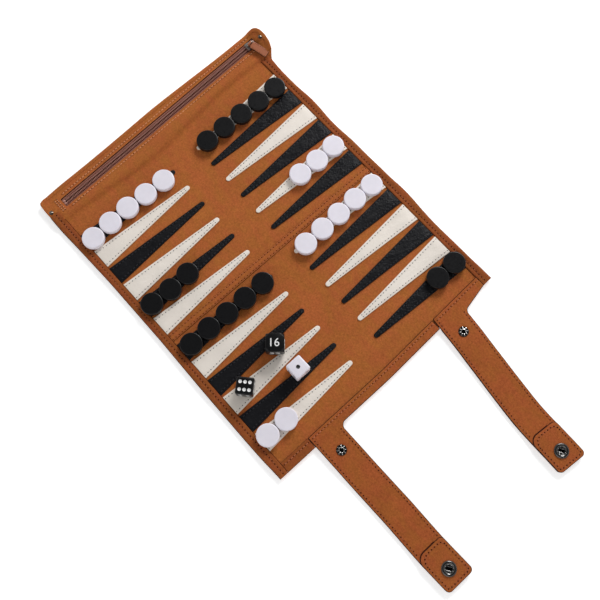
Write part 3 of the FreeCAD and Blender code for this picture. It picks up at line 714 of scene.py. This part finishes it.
# Bindings along the near and far sides. The section runs from the inner edge round the outside.
BINDING = [(0.0, 2.62), (0.02, 3.2), (0.18, 3.58), (0.55, 3.72), (1.8, 3.74), (2.9, 3.6),
           (3.5, 3.52), (4.1, 3.6), (5.3, 3.78), (6.6, 3.74), (7.8, 3.5), (8.6, 3.05),
           (9.05, 2.3), (9.1, 1.4), (8.95, 0.6), (8.5, 0.05), (7.7, 0.0), (7.7, 1.3),
           (7.9, 2.55), (4.0, 2.62)]


def side_binding(build, xs, outer, way):
    """Strip rolled round the near (-1) or far (1) side, as wide as the side reaches at each x."""
    across, up = np.array(BINDING).T
    reach = (np.abs(outer(xs)) - SIDE_IN)[:, None]
    stretched = np.where(across > 4, across * reach / 9.1, across)
    stations = np.stack([stretched, np.tile(up, (len(xs), 1))], 2)
    # The roll's outer wall takes the dark edge finish, partly painted shade.
    kinds = ["edge" if min(one[0], two[0]) > 7.7 and max(one[1], two[1]) < 3.3 else "border"
             for one, two in zip(BINDING, BINDING[1:] + BINDING[:1])]
    if way > 0:
        stations = (stations * (-1, 1))[:, ::-1]
        kinds = kinds[-2::-1] + kinds[-1:]
    tube(build, [(x, way * SIDE_IN, 0.0) for x in xs], stations, kinds)


bindings = Build()
near_span, far_span = (np.concatenate([np.arange(start, -133, 1.5), np.arange(-132, end, 5.0), [end]])
                       for start, end in ((-157, END_OUT), (-148, 145.7)))
side_binding(bindings, near_span, near_out, -1)
side_binding(bindings, far_span, far_out, 1)
# A thin dark line along each binding's inner edge: painted shadow of the gap between binding and field.
for y in (0.15 - SIDE_IN, SIDE_IN - 0.15):
    tube(bindings, [(x, y, PLY_TOP) for x in far_span], circle(0.3, 6), "needle")
for start, end, y in ((-155, 148, -120.3), (-146.5, 143, 120.3)):
    stitches(bindings, [(start, y), (end, y)], MAT_TOP, "brown_thread", width=0.5, hole_size=0.62)
bindings.make("side_bindings_rolled", "suede", bend=FOLD, shape=risen, stands_for=("side_bindings",),
              crisp=50)


# ---- points and bar

def tapered(x, way, width):
    """Outline of a point standing on the field's near (-1) or far (1) side."""
    base, tip, half, radius = 116.4, 14.4, width / 2, 2.25
    long = base - tip - radius
    lean = math.atan2(half - radius, long)
    arc = [(radius * math.cos(a), long + radius * math.sin(a), 0)
           for a in np.linspace(lean * 0.5, math.pi - lean * 0.5, 9)]
    return (x, way * base) - way * outline([(-half, 0, 0), (half, 0, 0)] + arc, 8.0)


def point_x(number, way):
    """Middle of a point, counted 1 to 12 along the field. The bar parts 6 from 7."""
    hand = 1 if number > 6.5 else -1
    return -1.2 - way * 1.2 + hand * (15.3 + (abs(number - 6.5) - 0.5) * 20.5)


def point_set(colour, near_rest, width, hole, hole_size):
    """The twelve points of one colour, each with a row of stitches along both its sides."""
    build = Build()
    half = width / 2 - 2.4
    for number in range(1, 13):
        way = -1 if number % 2 == near_rest else 1
        x = point_x(number, way)
        high = MAT_TOP + rng.uniform(-0.06, 0.06)
        slab(build, tapered(x, way, width), POINT_LOW, high, colour, colour + "_edge", soft=0.42, step=9.0)
        for hand in (-1, 1):
            row = [(x - way * hand * half, way * 115.2), (x - way * hand * 0.95, way * 19.5)]
            stitches(build, row, high, colour + "_thread", hole, pitch=3.45, width=0.46,
                     hole_size=hole_size, length=0.6)
    build.make(colour + "_point_set", colour + "_leather", body="mat", stands_for=(colour + "_points",))


point_set("cream", 0, 19.2, "needle_grey", 0.46)
point_set("black", 1, 17.6, "needle_black", 0.5)

BAR_TOP = 3.25
bar = Build()
slab(bar, outline(box(-4.7, -BAR_END, 2.3, BAR_END), 12.0), POINT_LOW, BAR_TOP, "field", "edge", soft=0.3)
for x in (-3.3, 0.9):
    stitches(bar, [(x, 1 - BAR_END), (x, BAR_END - 1)], BAR_TOP, "brown_thread", width=0.5)
bar.make("bar_strip_sewn", "suede", body="mat", stands_for=("centre_bar",))


# ---- straps

STRAPS = {"near": (149.5, -71.7, 0.0), "far": (146.5, 75.6, math.radians(-4.9))}
BOW = {"near": [(0, 0.0), (50, 0.0), (85, 0.3), (125, -0.4), (158, 0.6)],
       "far": [(0, 0.0), (20, -0.2), (40, -0.7), (65, -1.7), (92, -2.7), (105, -2.8), (127, -1.9),
               (143, -0.7), (158, 0.2)]}
# For each strap: where its part of the end binding starts and ends across the mat, the start of its
# near edge, the start of its far edge, and the reach of the binding's lip.
ROOTS = {"near": (-85.7, 60.9, -9.0, 1.0, (-86.0, 60.9)),
         "far": (61.9, SIDE_IN, -7.4, 3.8, (61.9, 124.6))}
HALF = 14.1
SEW = HALF - 2.5
CUT_ONE, CUT_TWO, TIP_END = 55, 95, 157.5
STUD_AT, SOCKET_AT = 17.0, 143.0
PATCH_TOP = MAT_TOP + 1.0


def strap_line(word, u, v=0.0):
    """Field position of a point along (u) and across (v) a strap that runs straight."""
    return turned_at(*STRAPS[word], u, v)


def strap_field(word, u, v):
    """As strap_line, with the strap's sideways bow."""
    return strap_line(word, u, v + ease(u, BOW[word]))


def drooped(word):
    """Shaping of strap pieces: from the mat down on to the table and up again for the socket."""
    x0, y0, turn = STRAPS[word]

    def shape(p):
        q = lifted(p)
        u = (p[:, 0] - x0) * math.cos(turn) + (p[:, 1] - y0) * math.sin(turn)
        down = -1.45 * smooth((u - 22) / 24) * (1 - smooth((u - 108) / 22))
        wave = 0.25 * np.sin(u / 11.0) * smooth((u - 24) / 20) * (1 - smooth((u - 100) / 20))
        q[:, 2] += down + np.abs(wave)
        return q
    return shape


def strap_loop(word, corners):
    """Outline given in strap coordinates (u, v, radius)."""
    return np.column_stack(strap_field(word, *outline(corners).T))


def strap_row(build, word, points, z=STRAP_TOP):
    """Row of stitches through points given in strap coordinates."""
    path = resample(points, 2.0)
    stitches(build, np.column_stack(strap_field(word, *path.T)), z, "brown_thread", width=0.5,
             hole_size=0.6)


def round_hole(centre, radius):
    """Hole through a strap for its stud or socket."""
    return [circle(radius, 24) + centre]


def cut_line(word, u):
    """Line square across a strap at u, where two of its pieces meet."""
    turn = STRAPS[word][2]
    return np.array(strap_field(word, u, 0.0)), np.array((math.cos(turn), math.sin(turn)))


def plies(build, word, upper, lower, cuts, holes=()):
    """A strap's two layers of leather, with dark cut edges (edge dye with painted shade), cut square where
    its pieces meet.
    """
    shared = {"flush": [cut_line(word, u) for u in cuts], "holes": holes, "step": 7.0}
    slab(build, upper, TRIM_LOW, STRAP_TOP, "strap", "edge", soft=0.7, faced=0, **shared)
    slab(build, lower, PLY_LOW, PLY_TOP, "strap", "edge", "under", soft=0.3, **shared)


def hinged(build, word, name, one, two, u, reach, stands_for):
    """Make a strap piece between body one and body two, reach to either side of u; settle only bakes its
    placement.
    """
    start, end = (world(*strap_line(word, u + d)) for d in (-reach, reach))
    return build.make(f"{word}_strap_{name}_length", "suede", bend=(one, two, start, end),
                      shape=drooped(word), stands_for=stands_for)


def root(word):
    """Strap's first length in one piece with its part of the end binding."""
    low_y, high_y, near_start, far_start, (lip_low, lip_high) = ROOTS[word]
    build = Build()

    def edge(v, us, radius=0):
        return [(*strap_field(word, u, v), radius) for u in us]

    rim = (edge(-HALF, [near_start], 0.8) + edge(-HALF, [*range(int(near_start) + 3, CUT_ONE, 6), CUT_ONE])
           + edge(HALF, [CUT_ONE, *range(CUT_ONE - 5, 13, -6)]) + edge(HALF, [far_start], 5.0))
    binding = [(end_x(reach, high_y), high_y, 0) for reach in (END_OUT, END_IN)]
    if word == "near":
        binding = [(END_OUT, 0, 0), *binding, (END_IN, 0, 0)]
    lower = strap_loop(word, box(far_start + 0.6, -HALF, CUT_ONE, HALF))
    plies(build, word, outline(rim + binding), lower, [CUT_ONE], round_hole(strap_line(word, STUD_AT), 1.9))
    ys = [*np.arange(lip_low, lip_high, 6.0), lip_high]
    lip = [(end_x(END_OUT, y), y) for y in ys] + [(end_x(END_LIP, y), y) for y in ys[::-1]]
    slab(build, fine(lip, 4.0), 0.0, PLY_TOP, "border", soft=0.3, step=20.0)
    row = [(end_x(END_ROW, y), y) for y in np.arange(low_y + 2.5, high_y, 4.0)]
    stitches(build, row, STRAP_TOP, "pink_thread")
    for start, v in ((near_start + 6, -SEW), (4, SEW)):
        strap_row(build, word, [(start, v), (CUT_ONE - 2, v)])
    return hinged(build, word, "root", "mat", f"{word}_inner_length", 35, 12, (f"{word}_strap_root",))


def middle(word):
    build = Build()
    loop = strap_loop(word, box(CUT_ONE, -HALF, CUT_TWO, HALF))
    plies(build, word, loop, loop, [CUT_ONE, CUT_TWO])
    for v in (-SEW, SEW):
        strap_row(build, word, [(CUT_ONE + 1, v), (CUT_TWO - 1.5, v)])
    return hinged(build, word, "middle", f"{word}_inner_length", f"{word}_middle_length", 75, 17,
                  (f"{word}_strap_inner",))


def tip(word):
    """Strap's last length, with the patch that carries the socket, and a dark line of painted shadow along
    the patch's open inner edge.
    """
    build = Build()
    hole = round_hole(strap_field(word, SOCKET_AT, 0.0), 2.3)
    end = TIP_END - 0.5
    loop = strap_loop(word, [(CUT_TWO, -HALF, 0), (end, -HALF, 4.0), (end, HALF, 4.0), (CUT_TWO, HALF, 0)])
    plies(build, word, loop, loop, [CUT_TWO], hole)
    turn, start, end = 8.0, 120.5, TIP_END - 0.4
    patch = [(start, -HALF, turn), (end, -HALF, 4.0), (end, HALF, 4.0), (start, HALF, 4.0)]
    slab(build, strap_loop(word, patch), MAT_TOP, PATCH_TOP, "strap", "edge", soft=0.7, step=7.0,
         faced=0, holes=hole)
    # Dark line along the patch's inner edge and round its corner: painted shadow of the patch's step.
    start -= 0.2
    patch_shadow_line = [(start + turn * (1 - math.sin(a)), 0.2 - HALF + turn * (1 - math.cos(a)))
            for a in np.linspace(0, math.pi / 2, 9)] + [(start, v) for v in (-3.0, 0.0, 3.0, 6.0)]
    patch_shadow_line = np.column_stack(strap_field(word, *np.array(patch_shadow_line).T))
    tube(build, level(patch_shadow_line, MAT_TOP + 0.12), circle(0.42, 6, 0.7), "needle")
    v = HALF - 2.6
    for hand in (-v, v):
        strap_row(build, word, [(CUT_TWO + 1.5, hand), (118.5, hand)])
    arc = [(131.0, -v), (127.0, 1.0 - v), (124.2, 3.4 - v), (123.4, 7.0 - v), (123.4, v - 3.4),
           (124.4, v - 1.0), (126.8, v)]
    round_end = [(133.0, -v), (TIP_END - 3, -v), (TIP_END - 3, v), (129.0, v)]
    for row in (arc, round_end):
        strap_row(build, word, row, PATCH_TOP)
    return hinged(build, word, "tip", f"{word}_middle_length", f"{word}_tip_length", 115, 17,
                  (f"{word}_strap_middle", f"{word}_strap_tip"))


strap_pieces = {word: (root(word), middle(word), tip(word)) for word in STRAPS}

# The rest of the end binding, between the near strap's root and the mat's near corner.
STRIP_END, STRIP_TOP = -86.2, MAT_TOP + 0.05
end_strip = Build()
slab(end_strip, outline(box(END_IN, -BAR_END, END_OUT, STRIP_END)), TRIM_LOW, STRIP_TOP, "border", "edge",
     soft=0.4)
slab(end_strip, outline(box(END_LIP, -124.4, END_OUT, STRIP_END), 4.0), 0.0, PLY_TOP, "border",
     soft=0.3, step=20.0)
stitches(end_strip, [(END_ROW, -115.0), (END_ROW, -88.0)], STRIP_TOP, "pink_thread")
end_strip.make("strap_end_strip", "suede", body="mat", stands_for=("strap_end_binding",))


# ---- press studs and rivets

def petals(build, centre, ways, girth):
    """Ring of eight short raised ribs in a brighter metal, a painted highlight; ways holds (radius, height)
    along one rib.
    """
    x, y = centre
    for k in range(8):
        angle = 2 * math.pi * (k + 0.3) / 8
        path = [(x + math.cos(angle) * r, y + math.sin(angle) * r, z) for r, z in ways]
        tube(build, path, circle(girth, 8, 0.7), "snap_bright")


def stud(build, word):
    """Washer with a rolled rim and a crown of petals round its hole, and the ball underneath."""
    centre = strap_line(word, STUD_AT)
    profile = [(0.0, 2.4), (1.3, 2.4), (1.6, 3.4), (1.75, 4.3), (2.0, 4.55), (2.35, 4.45), (2.9, 4.15),
               (3.6, 4.1), (4.1, 4.3), (4.45, 4.25), (4.6, 3.95), (4.55, 3.72), (1.85, 3.72),
               (1.85, 1.6), (3.8, 1.6), (3.8, 1.0), (2.6, 0.9), (2.75, 0.5), (2.4, 0.05), (0.0, 0.02)]
    # Bright bands paint a highlight on the rolled lip round the hole; dark bands paint shade in the hole
    # and in the trough.
    kinds = ["snap_dark"] * 3 + ["snap_bright"] * 2 + ["snap_dark"] * 2 + ["snap"]
    lathe(build, profile, (*centre, 0.0), kinds, 40)
    petals(build, centre, ((2.1, 4.35), (2.6, 4.6), (3.3, 4.6), (4.0, 4.3)), 0.36)


def socket(word):
    """Ring with a raised rim round a dished well, two spring wires in it and a cap below."""
    centre = strap_field(word, SOCKET_AT, 0.0)
    build = Build()
    top = PATCH_TOP
    profile = [(0.0, 0.45), (4.6, 0.45), (5.6, 0.7), (6.0, 1.2), (6.0, 1.58), (2.2, 1.58),
               (2.2, top), (5.9, top), (6.3, top + 0.25), (6.25, top + 0.8), (5.75, top + 1.3),
               (5.1, top + 1.5), (4.4, top + 1.4), (3.9, top + 0.95), (3.1, top + 0.55),
               (2.6, top + 0.6), (2.3, top + 0.3), (2.1, top - 0.6), (1.7, 1.4), (0.0, 1.2)]
    # The well's inner wall and floor take the near-black metal: painted shade.
    lathe(build, profile, (*centre, 0.0), ["snap"] * 15 + ["snap_dark"], 56)
    petals(build, centre, ((3.1, top + 0.75), (3.45, top + 0.85), (3.8, top + 0.95)), 0.3)
    turn = STRAPS[word][2] + 0.6
    way = np.array((math.cos(turn), math.sin(turn)))
    side = np.array((-way[1], way[0]))
    # One spring wire takes the bright metal, a painted highlight; the other the plain metal.
    for hand, kind in ((-1, "snap_bright"), (1, "snap")):
        path = [(*(centre + way * a + side * hand * (1.5 + 0.12 * abs(a))), top + 0.42)
                for a in np.linspace(-1.9, 1.9, 7)]
        tube(build, path, circle(0.28, 8), kind)
    build.make(f"{word}_socket_ring", "snap_metal", body=f"{word}_tip_length",
               stands_for=(f"{word}_snap_socket",))


studs = Build()
for word in STRAPS:
    stud(studs, word)
studs.make("root_stud_pair", "snap_metal", body="mat", stands_for=("root_studs",))
for word in STRAPS:
    socket(word)

RIVET = [(0.0, 0.2), (0.8, 0.2), (0.8, 4.0), (1.9, 4.1), (1.95, 4.6), (1.7, 4.75), (1.4, 4.75),
         (1.3, 5.05), (0.9, 5.3), (0.45, 5.4), (0.0, 5.42)]
rivets = Build()
for x, y in ((-160.3, -122.5), (-165.3, 131.2)):
    z = lifted(np.array([(x, y, 0.0)]))[0, 2] + 0.05
    # The groove at the foot of the rivet's dome takes the near-black metal: painted shade.
    lathe(rivets, RIVET, (x, y, z), ["rivet"] * 5 + ["snap_dark"] * 2 + ["rivet"], 28)
rivets.make("pocket_rivet_pair", "rivet_metal", body="pocket", stands_for=("pocket_rivets",))


# ---- zip

tapes = Build()
for hand in (-1, 1):
    low_u, high_u = sorted((hand * 0.8, hand * 5.8))
    slab(tapes, zip_loop(box(low_u, -116, high_u, 121.7), 6.0), SHEET_TOP, 3.0, "tape", soft=0.1, step=50.0)
    # The first line along each tape, beside the coil, has the dark finish: painted shade at the coil's
    # edge.
    for u, radius, kind in ((2.55, 0.26, "needle"), (3.3, 0.16, "tape")):
        path = [(*zip_at(hand * u, v), 3.03) for v in np.arange(-112, 118, 1.0)]
        tube(tapes, path, circle(radius, 5, 0.7), kind)
tapes.make("zip_tape_pair", "zip_fabric", body="pocket", stands_for=("zip_tapes",), shape=lifted)

COIL_PITCH, COIL_TURNS, COIL_STEPS = 1.5, 152, 10
coils = Build()
for hand in (-1, 1):
    path, ups = [], []
    for k in range(COIL_TURNS * COIL_STEPS):
        angle = 2 * math.pi * k / COIL_STEPS
        v = -111.6 + COIL_PITCH * (k / COIL_STEPS + 0.25 * hand)
        u = hand * (1.35 + 0.72 * math.cos(angle))
        path.append((*zip_at(u, v), 3.55 + 0.42 * math.sin(angle)))
        ups.append((math.cos(angle) * hand * math.cos(SKEW), 0.0, math.sin(angle) + 1e-3))
    tube(coils, path, circle(0.27, 5), "coil", ups=ups)
coils.make("zip_coil_pair", "zip_nylon", body="pocket", stands_for=("zip_coils",), shape=lifted)

STOP = ((0.3, 3.2), (0.5, 4.0), (1.3, 4.25), (2.1, 4.0), (2.3, 3.1))
stops = Build()
for v in (-112.9, 118.6):
    for hand in (-1, 1):
        tube(stops, [(*zip_at(hand * u, v), z) for u, z in STOP], circle(1.1, 10, 0.28 / 1.1), "coil")
stops.make("zip_stop_set", "zip_nylon", body="pocket", stands_for=("zip_stops",), shape=lifted)

# Slider: upper and lower plates, the wedge between them, two side walls and the pull's bail.
SLIDER_AT = 114.0
waist = [(-3.7, -4.5, 1.2), (3.7, -4.5, 1.2), (3.7, -1.4, 1.0), (2.6, 4.5, 1.1), (-2.6, 4.5, 1.1),
         (-3.7, -1.4, 1.0)]
sole = [(-2.9, -4.3, 1.0), (2.9, -4.3, 1.0), (2.3, 4.3, 1.0), (-2.3, 4.3, 1.0)]
slider = Build()
for corners, low, high, soft in ((waist, 4.5, 5.5, 0.4), (sole, 1.6, 2.3, 0.25),
                                 (box(-0.45, -1.3, 0.45, 1.3, 0.2), 2.2, 4.6, 0.1),
                                 (box(-3.7, -4.2, -2.85, -1.5, 0.25), 3.35, 4.7, 0.2),
                                 (box(2.85, -4.2, 3.7, -1.5, 0.25), 3.35, 4.7, 0.2)):
    corners = [(u, SLIDER_AT + v, radius) for u, v, radius in corners]
    slab(slider, zip_loop(corners), low, high, "zip_metal", soft=soft, step=3.0)
bail = [(-3.4, 5.2), (-3.4, 6.3), (-3.2, 6.95), (-2.6, 7.3), (0.0, 7.38), (2.6, 7.3), (3.2, 6.95),
        (3.4, 6.3), (3.4, 5.2)]
bail = resample([(*zip_at(0.0, SLIDER_AT + v), z) for v, z in bail], 0.6)
tube(slider, bail, circle(0.5, 10), "zip_metal", ups=np.tile((1.0, 0.0, 0.02), (len(bail), 1)))
slider.make("zip_slider_body", "zip_metal", body="slider", stands_for=("zip_slider",), crisp=50)

LEAN = math.radians(14)
TAB_TOP, LOOP_Z, LOOP_RADIUS = 7.9, 7.32, 1.12


def tab_at(s, w):
    """Field position of a point along (s) and across (w) the pull, from the bail's bar."""
    return zip_at(*turned_at(0.0, SLIDER_AT, LEAN, s, w))


def tab_droop(p):
    """The pull sinks from the bail towards its end in a soft wave."""
    q = p.copy()
    start = np.array(tab_at(0.0, 0.0))
    s = (p[:, :2] - start) @ (np.array(tab_at(1.0, 0.0)) - start)
    q[:, 2] += -1.55 * smooth((s - 2.5) / 20) + 0.25 * np.sin(np.clip(s - 3, 0, None) / 3.2)
    return q


tab = Build()
flap = outline([(1.6, -2.3, 0.0), (3.2, -3.8, 1.0), (19.6, -3.8, 1.4), (19.6, 3.8, 1.4),
                (3.2, 3.8, 1.0), (1.6, 2.3, 0.0)], 1.6)
slab(tab, np.column_stack(tab_at(*flap.T)), 6.75, TAB_TOP, "tab", "edge", soft=0.35, step=2.0, groove=True)
loop = np.array([(*tab_at(LOOP_RADIUS * math.cos(a) + 0.1, 0.0), LOOP_Z + LOOP_RADIUS * math.sin(a))
                 for a in np.linspace(math.radians(55), math.radians(305), 16)])
across = [(2.25, -0.3), (2.25, 0.3), (2.1, 0.38), (-2.1, 0.38), (-2.25, 0.3), (-2.25, -0.3),
          (-2.1, -0.38), (2.1, -0.38)]
steps = np.diff(loop, axis=0)
side_way = np.array((*tab_at(0, 1), 0.0)) - (*tab_at(0, 0), 0.0)
tube(tab, loop, across, "tab", ups=np.cross(side_way, np.vstack([steps, steps[-1:]])))
for w in (-2.8, 2.8):
    stitches(tab, [tab_at(s, w) for s in (5.0, 18.0)], TAB_TOP, "brown_thread", pitch=2.6, width=0.4,
             hole_size=0.3)
tab.make("zip_pull_tab", "pull_leather", body="pull", stands_for=("pull_tab",), shape=tab_droop)


# ---- loose pieces

def rounded(one, corner, two):
    """Seven points from one to two round a corner."""
    t = np.linspace(0, 1, 7)[:, None]
    return ((1 - t) ** 2 * one + 2 * t * (1 - t) * np.array(corner) + t ** 2 * two).tolist()


# The rim's last point stands twice, which keeps the flat top's shading apart from the rim's.
RIM_OUT, THICK = 9.9, 5.0
CHECKER = [(0.0, 0.0), *rounded((RIM_OUT - 0.7, 0.0), (RIM_OUT, 0.0), (RIM_OUT, 0.7)),
           *rounded((RIM_OUT, THICK - 1), (RIM_OUT, THICK), (RIM_OUT - 1, THICK)),
           (RIM_OUT - 1, THICK), (0.0, THICK - 0.07)]
CHECKER_PITCH = 20.2
# Colour, first piece's place, direction along the row, and each piece's sideways shift.
STACKS = [
    ("white", -116.4, -109.2, 1, (0.9, -0.3, -1.0, -0.1, 0.5)),
    ("white", -37.5, 107.1, -1, (-0.2, 0.2, -0.1)),
    ("white", 13.5, 107.1, -1, (-0.4, -0.7, -0.2, 0.4, 0.9)),
    ("white", 116.8, -109.1, 1, (-0.1, 0.2)),
    ("black", -118.0, 106.8, -1, (0.7, 0.8, -0.1, -0.5, -0.6)),
    ("black", -34.4, -108.9, 1, (-0.2, 0.6, -0.2)),
    ("black", 15.4, -106.5, 1, (-0.1, -0.5, 0.0, 0.1, 0.4)),
    ("black", 114.6, 110.6, -1, (-0.1, 0.0)),
]


def disc_mesh(colour, kind):
    build = Build()
    lathe(build, CHECKER, (0.0, 0.0, 0.0), [kind], 72)
    return build.mesh(colour + "_disc", crisp=30, origin=np.zeros(3))


shared = {"white": disc_mesh("white", "white"), "black": disc_mesh("black", "ebony")}
count = {"white": 0, "black": 0}
for colour, stack_x, stack_y, way, shifts in STACKS:
    for step, shift in enumerate(shifts):
        count[colour] += 1
        node = f"{colour}_checker_{count[colour]:02d}"
        disc = placed(f"{colour}_disc_{count[colour]:02d}", shared[colour])
        disc.location = world(stack_x + shift, stack_y + way * step * CHECKER_PITCH, PIECE_LOW)
        disc.rotation_euler[2] = rng.uniform(0, 6.28)
        settle(disc, body=node + "_piece", stands_for=(node,))


def bevelled(block, parts, offset, segments, affect):
    bmesh.ops.bevel(block, geom=parts[:], offset=offset, segments=segments, profile=0.5, affect=affect)


def moulded(name, shape, *kinds):
    """Object made of a bmesh, which is used up, with its finishes."""
    mesh = bpy.data.meshes.new(name)
    shape.to_mesh(mesh)
    shape.free()
    for kind in kinds:
        mesh.materials.append(FINISH[kind])
    return placed(name, mesh)


def frozen(made):
    """Mesh of an object as its modifiers or its letters leave it."""
    bpy.context.view_layer.update()
    return bpy.data.meshes.new_from_object(made.evaluated_get(bpy.context.evaluated_depsgraph_get()))


def laid(made, node, x, y, middle, turn):
    """Put a die or the cube on the mat, its middle so high and turned by so many degrees."""
    made.location = world(x, y, PIECE_LOW + middle)
    made.rotation_euler[2] = math.radians(turn)
    settle(made, body=node + "_piece", stands_for=(node,))


DIE, CUBE = 15.0, 16.0
SPOTS = {
    1: [(0, 0)], 2: [(-1, -1), (1, 1)], 3: [(-1, -1), (0, 0), (1, 1)],
    4: [(-1, -1), (1, -1), (-1, 1), (1, 1)], 5: [(-1, -1), (1, -1), (-1, 1), (1, 1), (0, 0)],
    6: [(-1, -1), (0, -1), (1, -1), (-1, 1), (0, 1), (1, 1)],
}


def spot_balls(faces):
    """Balls that scoop out a die's spots. faces gives the spots on +Z, +X and +Y."""
    balls = bmesh.new()
    for axis, first in zip((2, 0, 1), faces):
        for way, count in ((1, first), (-1, 7 - first)):
            radius, depth = (2.6, 0.7) if count == 1 else (2.2, 0.6)
            spread = 4.1 if count == 6 else 3.25
            for u, v in SPOTS[count]:
                spot = [u * spread, v * 3.25]
                spot.insert(axis, way * (DIE / 2 + radius - depth))
                bmesh.ops.create_uvsphere(balls, u_segments=32, v_segments=20, radius=radius / 1000,
                                          matrix=Matrix.Translation(Vector(spot) / 1000))
    for scoop in balls.faces:
        scoop.material_index = 1
    return balls


def die(node, faces, x, y, turn, slot, *kinds):
    """Rounded die with dished spots. kinds holds the finishes of its body and its spots."""
    block = bmesh.new()
    bmesh.ops.create_cube(block, size=DIE / 1000)
    bevelled(block, block.edges, 0.0014, 5, "EDGES")
    made = moulded(node + "_moulded", block, *kinds)
    cutter = moulded(node + "_cutter", spot_balls(faces), *kinds)
    boolean = made.modifiers.new("spots", "BOOLEAN")
    boolean.operation, boolean.solver, boolean.object = "DIFFERENCE", "EXACT", cutter
    cut = frozen(made)
    made.modifiers.clear()
    made.data = smoothed(cut, 24)
    bpy.data.objects.remove(cutter)
    laid(made, node, x, y, DIE / 2, turn)


die("white_die", (1, 2, 3), 92.4, -53.2, 0.5, "white_plastic", "white", "ebony_mark")
die("black_die", (6, 5, 3), 74.4, -96.6, 41.7, "black_plastic", "ebony", "ivory_mark")


def numeral(text):
    """Bold rounded number as a mesh in the XY plane, centred on the origin."""
    curve = bpy.data.curves.new("numeral", "FONT")
    size = 0.01 if len(text) > 1 else 0.0114
    curve.body, curve.size, curve.extrude, curve.offset = text, size, 0.00018, 0.001 * size
    curve.align_x, curve.align_y = "CENTER", "CENTER"
    curve.resolution_u = 4
    holder = placed("numeral", curve)
    mesh = frozen(holder)
    bpy.data.objects.remove(holder)
    clean = bmesh.new()
    clean.from_mesh(mesh)
    bmesh.ops.remove_doubles(clean, verts=clean.verts[:], dist=1e-7)
    clean.to_mesh(mesh)
    clean.free()
    co = np.array([v.co for v in mesh.vertices])
    mesh.transform(Matrix.Translation(-Vector((co.max(0) + co.min(0)) / 2)))
    return mesh


# Each face's number, outward direction and the direction in which the number stands.
CUBE_SIDES = [("16", (0, 0, 1), (0, 1, 0)), ("2", (0, 0, -1), (0, 1, 0)), ("8", (1, 0, 0), (0, 1, 0)),
              ("64", (-1, 0, 0), (0, -1, 0)), ("4", (0, 1, 0), (0, 0, 1)), ("32", (0, -1, 0), (0, 0, 1))]


def doubling_cube(x, y, turn):
    """Cube with its corners cut off, softened edges and a raised number on each face."""
    block = bmesh.new()
    bmesh.ops.create_cube(block, size=CUBE / 1000)
    bevelled(block, block.verts, 0.0038, 1, "VERTICES")
    bevelled(block, block.edges, 0.00042, 3, "EDGES")
    for text, normal, up in CUBE_SIDES:
        mark = numeral(text)
        normal, up = Vector(normal), Vector(up)
        turned = Matrix((up.cross(normal), up, normal)).transposed().to_4x4()
        mark.transform(Matrix.Translation(normal * CUBE / 2000) @ turned)
        mark.polygons.foreach_set("material_index", [1] * len(mark.polygons))
        block.from_mesh(mark)
        bpy.data.meshes.remove(mark)
    made = moulded("doubling_cube_moulded", block, "ebony", "ivory_mark")
    smoothed(made.data, 30)
    laid(made, "doubling_cube", x, y, CUBE / 2, turn)


doubling_cube(64.0, -53.8, 48.4)

# ---- floor, light and camera

floor_paint = Paint("studio_floor")
speck = floor_paint.ramp(floor_paint.noise(8, 2, 0.5), (0.3, (0.93,) * 3), (0.7, (0.95,) * 3))
floor_paint.shade(Base_Color=speck, Roughness=0.9, Specular_IOR_Level=0.1,
                  Emission_Color=(1.0, 1.0, 1.0, 1), Emission_Strength=0.5)
floor_mesh = bpy.data.meshes.new("studio_floor")
floor_mesh.from_pydata([(x, y, -0.0004) for x, y, _ in box(-6.0, -6.0, 6.0, 6.0)], [], [(0, 1, 2, 3)])
floor_mesh.materials.append(floor_paint.material)
placed("studio_floor", floor_mesh)

SKY = [(0.02, 0.97), (0.1, 0.69), (0.45, 0.69), (0.88, 0.13)]
sky = Paint("studio", bpy.data.worlds, "Background", "Generated")
height = sky.node("SeparateXYZ", {"Vector": sky.place}).outputs["Z"]
scene.world = sky.shade(Color=sky.ramp(height, *((at, (bright,) * 3) for at, bright in SKY)), Strength=1.0)


def lamp(name, spot, energy, width, depth):
    """Rectangular lamp that faces the frame's origin."""
    light = bpy.data.lights.new(name, "AREA")
    light.shape, light.size, light.size_y, light.energy = "RECTANGLE", width, depth, energy
    made = placed(name, light)
    made.location = spot
    made.rotation_euler = (-Vector(spot)).to_track_quat("-Z", "Y").to_euler()


lamp("key", (-0.62, 1.35, 1.0), 23.0, 0.8, 0.6)
lamp("fill", (0.7, -1.0, 0.9), 3.0, 1.2, 1.0)

# The camera stands over the straps' end and looks at AIM; its right-hand side points to HEADING.
EYE = Vector(world(171.73, -118.04, 665.5))
AIM = Vector(world(47.52, -10.63, 0.0))
HEADING = math.radians(47.81)
camera_data = bpy.data.cameras.new("camera")
camera_data.sensor_width, camera_data.lens = 36.0, 47.06
camera_data.clip_start, camera_data.clip_end = 0.01, 50.0
back = (EYE - AIM).normalized()
up = back.cross(Vector((math.cos(HEADING), math.sin(HEADING), 0.0))).normalized()
camera = placed("camera", camera_data)
camera.matrix_world = Matrix((up.cross(back), up, back)).transposed().to_4x4()
camera.location = EYE
scene.camera = camera
scene.view_settings.view_transform = "Standard"
